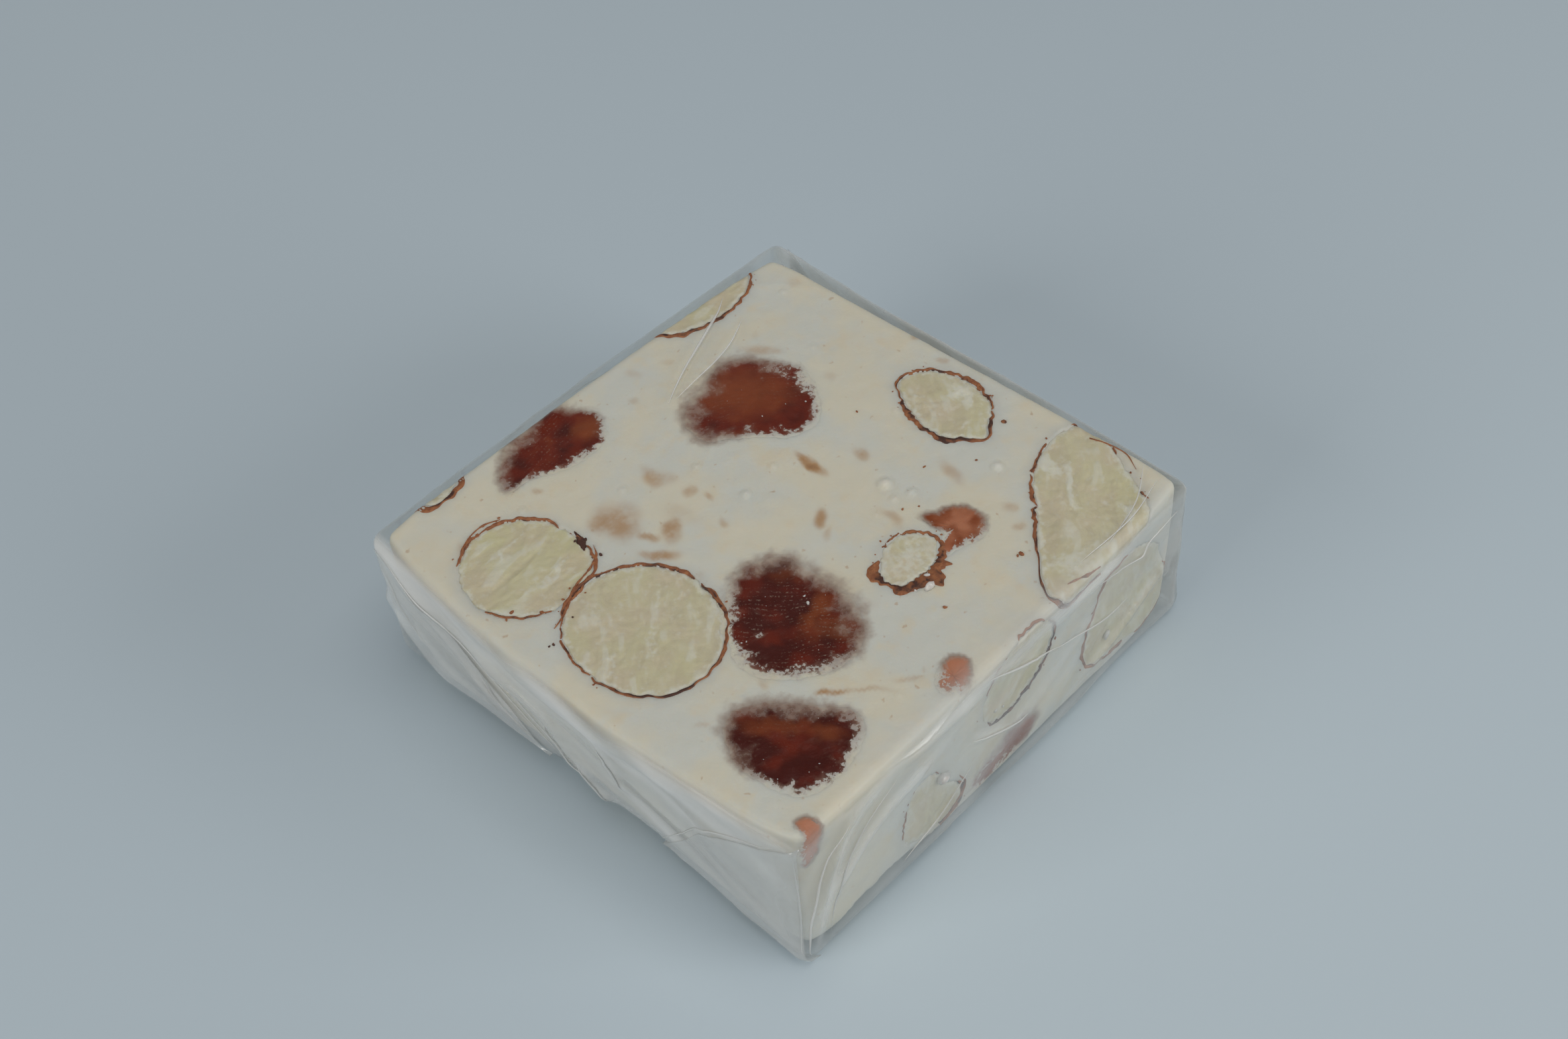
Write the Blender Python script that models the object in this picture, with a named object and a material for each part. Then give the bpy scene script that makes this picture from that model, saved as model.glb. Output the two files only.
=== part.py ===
"""A square bar of soft nougat with almonds and candied cherries, folded in clear film.

The bar lies flat. Its folded film ends face -X and +X, and the plain sides of the film sleeve face -Y and +Y.
Sizes are in millimetres in the bar's own grid: X runs from the front end to the back end, Y from the right
side to the left side, and Z up from the surface that the bar lies on. At the end the whole bar is moved so
that the origin sits under the middle of its box.
"""

import math
from collections import namedtuple

import bmesh
import bpy
from mathutils import Matrix, Vector

MM = 0.001

# The wrapped bar, measured over the film at its corners.
LENGTH = 42.2
WIDTH = 42.2
HEIGHT = 14.7
FRONT_BULGE = 1.6
FRONT_TUCK = 0.8

# The film, with the room that it keeps to the nougat, and the room that the nougat keeps to what is in it.
FILM = 0.25
FILM_GAP = 0.3
POCKET_GAP = 0.3
FILM_EDGE = 0.6
FLAP_STEP = 0.25
FLAP_SINK = 0.12
MOUTH_LINES = (0.9, 1.5)
MOUTH_SPAN = (12.0, 20.0)

# The nougat: the corners of the slab seen from above, going round from the front corner.
FOOT = FILM + FILM_GAP
TOP = HEIGHT - FOOT
SLAB_CORNERS = ((0.65, 0.6), (41.5, 0.6), (41.4, 39.9), (0.65, 41.5))
FILM_CORNERS = ((0.0, 0.0), (LENGTH, 0.0), (LENGTH, 41.2), (0.0, WIDTH))
SLAB_EDGE = 1.1
SLAB_SWELL = 0.12

# How finely the pieces are faceted.
GRID_STEP = 4.2
FILM_STEP = 3.4
OUTLINE_SIDES = 18
BOWL_ANGLES = (28.0, 54.0, 76.0)
OVERSHOOT = 3.0
RIM_RISE = 0.35
SHARP_ANGLE = 34

# The faces of the slab that cut the inclusions: where each lies, then its two directions and its outward one.
Face = namedtuple("Face", "origin across up outward")
FACES = {
    "top": Face((0, 0, TOP), (1, 0, 0), (0, 1, 0), (0, 0, 1)),
    "right": Face((0, 0.6, 0), (1, 0, 0), (0, 0, 1), (0, -1, 0)),
    "left": Face((0, 40.6, 0), (-1, 0, 0), (0, 0, 1), (0, 1, 0)),
    "back": Face((41.4, 0, 0), (0, 1, 0), (0, 0, 1), (1, 0, 0)),
    "base": Face((0, 0, FOOT), (0, 1, 0), (1, 0, 0), (0, 0, -1)),
}

# An inclusion is a bowl under the face that cuts it. at is its middle along the face's two directions, and
# half its half length and half width. pointed below 2 draws its ends to points. Each of its lobes swells the
# outline towards a number of corners: how many, by how much, and where the first one is, from the long axis.
Inclusion = namedtuple("Inclusion", "name face at half turn depth pointed lobes")
ROUND = ()
ALMONDS = (
    Inclusion("almond_leaf", "top", (36.8, 18.7), (5.0, 3.3), 82, 3.6, 1.5, ((4, 0.04, 39),)),
    Inclusion("almond_right_corner", "top", (35.4, 4.6), (8.2, 4.1), 38, 2.2, 1.7, ((3, 0.16, 28),)),
    Inclusion("almond_left_corner", "top", (5.3, 31.5), (4.8, 4.4), 178, 4.2, 2.1, ((3, 0.03, -31),)),
    Inclusion("almond_round", "top", (6.7, 20.8), (5.9, 5.4), 75, 5.0, 2.0, ROUND),
    Inclusion("almond_small", "top", (22.8, 10.5), (3.4, 2.4), 37, 3.0, 2.0, ((3, 0.07, -32),)),
    Inclusion("almond_left_edge", "top", (33.2, 42.0), (5.4, 3.6), 174, 3.4, 2.0, ROUND),
    Inclusion("almond_left_side", "left", (-6.7, 8.3), (5.6, 3.8), 80, 3.2, 2.0, ROUND),
    Inclusion("almond_right_upper", "right", (22.8, 10.6), (4.2, 3.2), 33, 3.0, 1.9, ROUND),
    Inclusion("almond_right_lower", "right", (13.3, 4.6), (3.7, 2.8), 122, 2.8, 2.0, ((3, 0.1, -30),)),
    Inclusion("almond_right_large", "right", (35.9, 6.4), (6.0, 5.0), 130, 3.8, 1.6, ((3, 0.08, -45),)),
    Inclusion("almond_back_side", "back", (27.0, 7.6), (5.6, 4.0), 24, 3.6, 1.9, ROUND),
    Inclusion("almond_base", "base", (27.5, 13.5), (6.2, 4.0), 60, 3.2, 1.9, ROUND),
    Inclusion("almond_base_round", "base", (12.5, 30.5), (5.4, 5.0), 10, 3.2, 2.0, ROUND),
)
CHERRIES = (
    Inclusion("cherry_back", "top", (27.8, 30.1), (5.0, 4.4), 141, 3.8, 2.0, ((3, 0.1, 23), (4, 0.06, 32))),
    Inclusion("cherry_left", "top", (14.8, 38.4), (4.8, 3.1), 0, 3.0, 1.8, ((3, 0.09, -49), (4, 0.05, 44))),
    Inclusion("cherry_middle", "top", (14.0, 13.4), (5.4, 4.6), 64, 4.2, 2.0, ((3, 0.09, 1),)),
    Inclusion("cherry_front", "top", (6.2, 6.1), (4.8, 3.5), 119, 3.8, 1.9, ((3, 0.13, -17), (4, 0.04, 37))),
    Inclusion("cherry_small", "top", (28.5, 10.4), (2.3, 2.1), 107, 1.8, 1.5, ((3, 0.15, -8), (4, 0.1, 6))),
    Inclusion("cherry_fleck", "top", (17.6, 2.0), (1.7, 1.2), 22, 1.3, 2.0, ROUND),
    Inclusion("cherry_corner", "right", (2.1, 13.1), (1.9, 0.9), 74, 1.5, 2.0, ROUND),
    Inclusion("cherry_right_side", "right", (22.6, 2.6), (3.1, 1.4), 8, 1.8, 2.0, ROUND),
    Inclusion("cherry_back_side", "back", (14.0, 7.0), (4.2, 3.4), 100, 3.0, 2.0, ((3, 0.07, 30),)),
    Inclusion("cherry_base", "base", (31.5, 26.5), (4.4, 3.4), 30, 3.0, 2.0, ((3, 0.07, 90),)),
)

# The film's end flaps, two triangles on each end: corners as fractions of the end's width and height.
FLAPS = (
    ((0.02, 0.96), (0.02, 0.05), (0.33, 0.09)),
    ((0.98, 0.96), (0.36, 0.10), (0.98, 0.08)),
)
FLAP_ROWS = 6

NOUGAT_COLOUR = (0.84, 0.78, 0.68)
ALMOND_COLOUR = (0.75, 0.66, 0.45)
CHERRY_COLOUR = (0.17, 0.022, 0.012)
FILM_COLOUR = (0.93, 0.95, 0.96)


def clear_scene():
    for item in list(bpy.data.objects):
        bpy.data.objects.remove(item)


def make_material(name, colour, roughness, metallic=0.0):
    material = bpy.data.materials.new(name)
    material.use_nodes = True
    shader = material.node_tree.nodes["Principled BSDF"]
    shader.inputs["Base Color"].default_value = (*colour, 1.0)
    shader.inputs["Roughness"].default_value = roughness
    shader.inputs["Metallic"].default_value = metallic
    return material


def add_object(name, mesh_data, parent, material=None):
    item = bpy.data.objects.new(name, mesh_data)
    bpy.context.scene.collection.objects.link(item)
    item.parent = parent
    if material:
        item.data.materials.append(material)
    return item


def mark_as_guide(item):
    item.hide_render = True
    item.display_type = "WIRE"


def mesh_from(bm, name):
    bmesh.ops.recalc_face_normals(bm, faces=bm.faces)
    mesh_data = bpy.data.meshes.new(name)
    bm.to_mesh(mesh_data)
    bm.free()
    return mesh_data


def grid_lines(low, high, edge, step, extra=()):
    """Grid lines from low to high: at each end, at an edge radius in, and then about a step apart."""
    inner = high - low - 2 * edge
    count = max(2, round(inner / step))
    lines = [low + edge + inner * i / count for i in range(count + 1)]
    return sorted({low, high, *lines, *extra})


def rounded(point, low, high, edge):
    """Moves a point of a box's skin onto the same box with its edges rounded."""
    core = Vector([min(max(c, a + edge), b - edge) for c, a, b in zip(point, low, high)])
    out = Vector(point) - core
    if out.length < 1e-9:
        return core
    return core + out.normalized() * edge


def onto_corners(u, v, corners):
    """The place at fractions u and v inside the four corners of a slab seen from above."""
    front_right, back_right, back_left, front_left = (Vector(corner) for corner in corners)
    right = front_right.lerp(back_right, u)
    left = front_left.lerp(back_left, u)
    return right.lerp(left, v)


def front_lean(u, v, w):
    """How far the front end stands out at half width: out at the top, tucked in at the foot."""
    bow = 4 * v * (1 - v)
    return (1 - u) * bow * (FRONT_TUCK * (1 - w) - FRONT_BULGE * w)


def slab_point(x, y, z):
    """A point of the nougat's skin, from its place on a plain box of LENGTH by WIDTH by the slab's height."""
    place = rounded((x, y, z), (0, 0, FOOT), (LENGTH, WIDTH, TOP), SLAB_EDGE)
    u, v, w = place.x / LENGTH, place.y / WIDTH, (place.z - FOOT) / (TOP - FOOT)
    flat = onto_corners(u, v, SLAB_CORNERS)
    swell = SLAB_SWELL * math.sin(2.3 * math.pi * u + 0.7) * math.sin(1.8 * math.pi * v + 0.4) * w
    return MM * Vector((flat.x + front_lean(u, v, w), flat.y, place.z + swell - SLAB_SWELL * w))


def film_point(x, y, z, outward=0.0):
    """A point of the film's outer skin, lifted outward at the ends by the given distance."""
    place = rounded((x, y, z), (0, 0, 0), (LENGTH, WIDTH, HEIGHT), FILM_EDGE)
    u, v, w = place.x / LENGTH, place.y / WIDTH, place.z / HEIGHT
    flat = onto_corners(u, v, FILM_CORNERS)
    lift = outward * (2 * u - 1)
    return MM * Vector((flat.x + front_lean(u, v, w) + lift, flat.y, place.z))


def box_skin(xs, ys, zs, point_at, is_open):
    """The quad skin of a box on grid lines. point_at places each grid point, and is_open leaves quads out."""
    bm = bmesh.new()
    verts = {}
    last = (len(xs) - 1, len(ys) - 1, len(zs) - 1)

    def vert(i, j, k):
        if (i, j, k) not in verts:
            verts[i, j, k] = bm.verts.new(point_at(xs[i], ys[j], zs[k]))
        return verts[i, j, k]

    def quad(corners):
        middle = [sum(axis) / 4 for axis in zip(*((xs[i], ys[j], zs[k]) for i, j, k in corners))]
        if not is_open(*middle):
            bm.faces.new([vert(*corner) for corner in corners])

    for i in range(last[0]):
        for j in range(last[1]):
            for k in (0, last[2]):
                quad(((i, j, k), (i + 1, j, k), (i + 1, j + 1, k), (i, j + 1, k)))
        for k in range(last[2]):
            for j in (0, last[1]):
                quad(((i, j, k), (i + 1, j, k), (i + 1, j, k + 1), (i, j, k + 1)))
    for j in range(last[1]):
        for k in range(last[2]):
            for i in (0, last[0]):
                quad(((i, j, k), (i, j + 1, k), (i, j + 1, k + 1), (i, j, k + 1)))
    return bm


def never_open(*_middle):
    return False


def in_mouth(x, y, z):
    """True in the slot under the front flaps, where the folded film isn't sealed."""
    low, high = MOUTH_LINES
    return x < 0.01 and low < z < high and MOUTH_SPAN[0] < y < MOUTH_SPAN[1]


def slab_mesh():
    xs = grid_lines(0, LENGTH, SLAB_EDGE, GRID_STEP)
    ys = grid_lines(0, WIDTH, SLAB_EDGE, GRID_STEP)
    zs = grid_lines(FOOT, TOP, SLAB_EDGE, GRID_STEP)
    return mesh_from(box_skin(xs, ys, zs, slab_point, never_open), "slab")


def film_mesh():
    xs = grid_lines(0, LENGTH, FILM_EDGE, FILM_STEP)
    ys = grid_lines(0, WIDTH, FILM_EDGE, FILM_STEP, MOUTH_SPAN)
    zs = grid_lines(0, HEIGHT, FILM_EDGE, FILM_STEP, MOUTH_LINES)
    return mesh_from(box_skin(xs, ys, zs, film_point, in_mouth), "film")


def outline_radius(angle, inclusion):
    """The outline's radius at an angle from its long axis."""
    long_half, short_half = inclusion.half
    power = inclusion.pointed
    reach = abs(math.cos(angle) / long_half) ** power + abs(math.sin(angle) / short_half) ** power
    waves = (s * math.cos(count * (angle - math.radians(first))) for count, s, first in inclusion.lobes)
    return reach ** (-1 / power) * (1 + sum(waves))


def bowl_mesh(inclusion, grow):
    """The closed bowl of an inclusion, in its face's directions, grown all round by a distance."""
    bm = bmesh.new()
    turn = math.radians(inclusion.turn)
    levels = [(1.0, OVERSHOOT), (1.0, RIM_RISE)]
    depth = inclusion.depth + grow
    levels += [(math.cos(math.radians(a)), -depth * math.sin(math.radians(a))) for a in BOWL_ANGLES]
    rings = []
    for scale, height in levels:
        ring = []
        for side in range(OUTLINE_SIDES):
            angle = 2 * math.pi * side / OUTLINE_SIDES
            radius = (outline_radius(angle, inclusion) + grow) * scale
            spot = (radius * math.cos(angle + turn), radius * math.sin(angle + turn), height)
            ring.append(bm.verts.new(MM * Vector(spot)))
        rings.append(ring)
    pole = bm.verts.new((0, 0, -depth * MM))
    bm.faces.new(rings[0])
    for upper, lower in zip(rings, rings[1:]):
        for i in range(OUTLINE_SIDES):
            after = (i + 1) % OUTLINE_SIDES
            bm.faces.new((upper[i], lower[i], lower[after], upper[after]))
    for i in range(OUTLINE_SIDES):
        bm.faces.new((rings[-1][i], pole, rings[-1][(i + 1) % OUTLINE_SIDES]))
    return mesh_from(bm, inclusion.name)


def face_matrix(inclusion):
    """Turns a bowl to the face that cuts it, with its middle at its place on that face."""
    face = FACES[inclusion.face]
    across, up, outward = (Vector(axis) for axis in (face.across, face.up, face.outward))
    turned = Matrix((across, up, outward)).transposed().to_4x4()
    middle = Vector(face.origin) + across * inclusion.at[0] + up * inclusion.at[1]
    return Matrix.Translation(MM * middle) @ turned


def add_boolean(item, operation, other):
    cut = item.modifiers.new(other.name, "BOOLEAN")
    cut.operation = operation
    cut.solver = "EXACT"
    cut.object = other


def settle(item):
    """Applies an object's modifiers, and shades it smooth up to its real edges."""
    evaluated = item.evaluated_get(bpy.context.evaluated_depsgraph_get())
    item.data = bpy.data.meshes.new_from_object(evaluated)
    item.modifiers.clear()
    item.data.shade_smooth()
    item.data.set_sharp_from_angle(angle=math.radians(SHARP_ANGLE))


def make_inclusion(inclusion, material, slab_guide, nougat, root):
    """Cuts the inclusion flush with the slab's faces, and its pocket out of the nougat."""
    piece = add_object(inclusion.name, bowl_mesh(inclusion, 0.0), root, material)
    pocket = add_object(inclusion.name + "_pocket", bowl_mesh(inclusion, POCKET_GAP), root)
    for item in (piece, pocket):
        item.matrix_local = face_matrix(inclusion)
    mark_as_guide(pocket)
    add_boolean(piece, "INTERSECT", slab_guide)
    add_boolean(nougat, "DIFFERENCE", pocket)
    settle(piece)


def flap_mesh(corners, at_back):
    """One triangular flap of folded film: a thin plate that follows the end of the film's skin."""
    bm = bmesh.new()
    tip, foot, far = (Vector(corner) for corner in corners)
    x = LENGTH if at_back else 0.0
    layers = []
    for lift in (-FLAP_SINK, FLAP_STEP):
        rows = []
        for row in range(FLAP_ROWS + 1):
            share = row / FLAP_ROWS
            begin, end = tip.lerp(foot, share), tip.lerp(far, share)
            spots = [begin.lerp(end, i / row if row else 0.0) for i in range(row + 1)]
            rows.append([bm.verts.new(film_point(x, s.x * WIDTH, s.y * HEIGHT, lift)) for s in spots])
        layers.append(rows)
    for rows in layers:
        for upper, lower in zip(rows, rows[1:]):
            for i in range(len(upper)):
                bm.faces.new((upper[i], lower[i], lower[i + 1]))
            for i in range(len(upper) - 1):
                bm.faces.new((upper[i], lower[i + 1], upper[i + 1]))
    inner, outer = (flap_rim(rows) for rows in layers)
    for i in range(len(inner)):
        after = (i + 1) % len(inner)
        bm.faces.new((inner[i], inner[after], outer[after], outer[i]))
    return mesh_from(bm, "flap")


def flap_rim(rows):
    """The vertices round a flap's edge, in order."""
    down = [row[0] for row in rows]
    up = [row[-1] for row in rows]
    return down + rows[-1][1:-1] + up[:0:-1]


def make_film(material, root):
    """The film: a thin skin folded round the slab, open at its front mouth, with two flaps at each end."""
    film = add_object("film_wrapper", film_mesh(), root, material)
    shell = film.modifiers.new("thickness", "SOLIDIFY")
    shell.thickness = FILM * MM
    shell.offset = -1.0
    shell.use_even_offset = True
    for at_back in (False, True):
        for number, corners in enumerate(FLAPS):
            end = "back" if at_back else "front"
            flap = add_object(f"flap_{end}_{number}", flap_mesh(corners, at_back), root)
            mark_as_guide(flap)
            add_boolean(film, "UNION", flap)
    settle(film)
    return film


def stand_on_origin(root, outermost):
    """Moves the whole bar so that the origin is under the middle of its outermost piece."""
    places = [vertex.co for vertex in outermost.data.vertices]
    low = [min(place[axis] for place in places) for axis in range(3)]
    high = [max(place[axis] for place in places) for axis in range(3)]
    root.location = Vector((-(low[0] + high[0]) / 2, -(low[1] + high[1]) / 2, -low[2]))


def build():
    clear_scene()
    root = add_object("bar", None, None)
    slab = slab_mesh()
    slab_guide = add_object("slab_guide", slab, root)
    mark_as_guide(slab_guide)
    nougat = add_object("nougat", slab.copy(), root, make_material("nougat", NOUGAT_COLOUR, 0.6))
    almond = make_material("almond", ALMOND_COLOUR, 0.55)
    cherry = make_material("cherry", CHERRY_COLOUR, 0.25)
    for inclusions, material in ((ALMONDS, almond), (CHERRIES, cherry)):
        for inclusion in inclusions:
            make_inclusion(inclusion, material, slab_guide, nougat, root)
    settle(nougat)
    film = make_film(make_material("film", FILM_COLOUR, 0.08), root)
    stand_on_origin(root, film)


build()
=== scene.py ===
"""The looks of a square of soft nougat with almonds and candied cherries, folded in clear film.

Lengths are in millimetres in the bar's own grid: X runs from the front end to the back end, Y from the
right side to the left side, and Z up from the floor. Every point is shifted into the row frame when its mesh
is made.
"""

import math
from collections import namedtuple

import bpy
import numpy as np
from mathutils import Matrix, Vector


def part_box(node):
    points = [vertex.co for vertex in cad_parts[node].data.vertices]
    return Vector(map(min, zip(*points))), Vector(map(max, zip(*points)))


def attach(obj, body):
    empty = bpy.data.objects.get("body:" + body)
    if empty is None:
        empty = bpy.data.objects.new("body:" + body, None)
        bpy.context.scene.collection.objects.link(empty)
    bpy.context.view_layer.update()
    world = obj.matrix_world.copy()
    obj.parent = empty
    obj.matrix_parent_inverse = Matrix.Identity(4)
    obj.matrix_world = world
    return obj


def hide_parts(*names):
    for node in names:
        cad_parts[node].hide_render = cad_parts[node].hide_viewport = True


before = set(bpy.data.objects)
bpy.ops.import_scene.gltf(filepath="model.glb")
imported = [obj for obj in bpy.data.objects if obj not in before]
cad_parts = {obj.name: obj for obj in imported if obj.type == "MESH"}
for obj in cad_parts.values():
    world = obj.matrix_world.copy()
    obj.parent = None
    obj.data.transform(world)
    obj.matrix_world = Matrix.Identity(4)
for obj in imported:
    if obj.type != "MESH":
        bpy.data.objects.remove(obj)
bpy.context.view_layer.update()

MM = 0.001
TURN = 2 * math.pi
FAR = 1e3
TINY = 1e-9

# The bar's grid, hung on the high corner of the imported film.
SIDE = 42.2
BACK_FLAP = 0.25
FILM_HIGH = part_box("film_wrapper")[1]
ORIGIN = np.array([FILM_HIGH.x / MM - SIDE - BACK_FLAP, FILM_HIGH.y / MM - SIDE, 0.0])

# Both blocks are a plain box with rounded edges, tapered to these corners seen from above, going round from
# the front corner. pinch draws the upright corners in, foot draws the foot in all round, and undercut only
# the foot of the front end.
Block = namedtuple("Block", "low high edge corners pinch foot undercut")
SLAB = Block((0.0, 0.0, 0.22), (SIDE, SIDE, 14.35), 0.65,
             ((0.4, 0.35), (41.9, 0.4), (40.9, 40.3), (0.4, 41.65)), 0.4, 0.35, 0.35)
FILM = Block((0.0, 0.0, 0.04), (SIDE, SIDE, 14.5), 0.85,
             ((0.0, 0.0), (SIDE, 0.0), (SIDE, 41.2), (0.0, SIDE)), 0.0, 0.15, 1.0)
FRONT_BULGE = 1.5
FRONT_TUCK = 0.8
LEFT_BOW = 0.35
PINCH_REACH = 5.0
FOOT_PINCH = 0.6
FOOT_HIGH = 2.2
# The top's gentle waves: how high, then how many half waves along and across, each with its start in radians.
SWELL = 0.1
SWELL_ALONG = (2.3, 0.7)
SWELL_ACROSS = (1.8, 0.4)
# The cut faces' unevenness: how high, how wide its lumps are, its seed and its octaves.
UNEVEN = ((0.045, 5.0, 1, 3), (0.018, 0.9, 2, 2))

# The faces: their two directions and their outward one.
FACES = {
    "top": ((1, 0, 0), (0, 1, 0), (0, 0, 1)),
    "right": ((1, 0, 0), (0, 0, 1), (0, -1, 0)),
    "left": ((-1, 0, 0), (0, 0, 1), (0, 1, 0)),
    "front": ((0, -1, 0), (0, 0, 1), (-1, 0, 0)),
    "back": ((0, 1, 0), (0, 0, 1), (1, 0, 0)),
    "base": ((0, 1, 0), (1, 0, 0), (0, 0, -1)),
}

# How finely the slab, the film, the cut inclusions and the almonds' skins are meshed.
SLAB_STEP = 0.25
FILM_STEP = 0.365
CUT_STEP = 0.15
SKIN_STEP = 0.08

# A soft oval spot on a face: its middle, half length, half width, turn in degrees and strength.
Blot = namedtuple("Blot", "x y long wide turn strength")


def blots(*rows):
    """Blots from rows of their numbers."""
    return tuple(Blot(*row) for row in rows)


# An inclusion is cut by a face. at is its middle along the face's two directions, half its half length and
# half width, and turn the direction of its long axis. A rim gives its outline as directions in degrees and
# how far the outline is that way. Without one the outline is an oval: pointed below 2 draws its ends to
# points, and each lobe swells it towards a number of corners: how many, by how much, and where the first is.
Inclusion = namedtuple(
    "Inclusion", "node face at half turn depth look pointed lobes rim", defaults=(2.0, (), ()))

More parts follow.
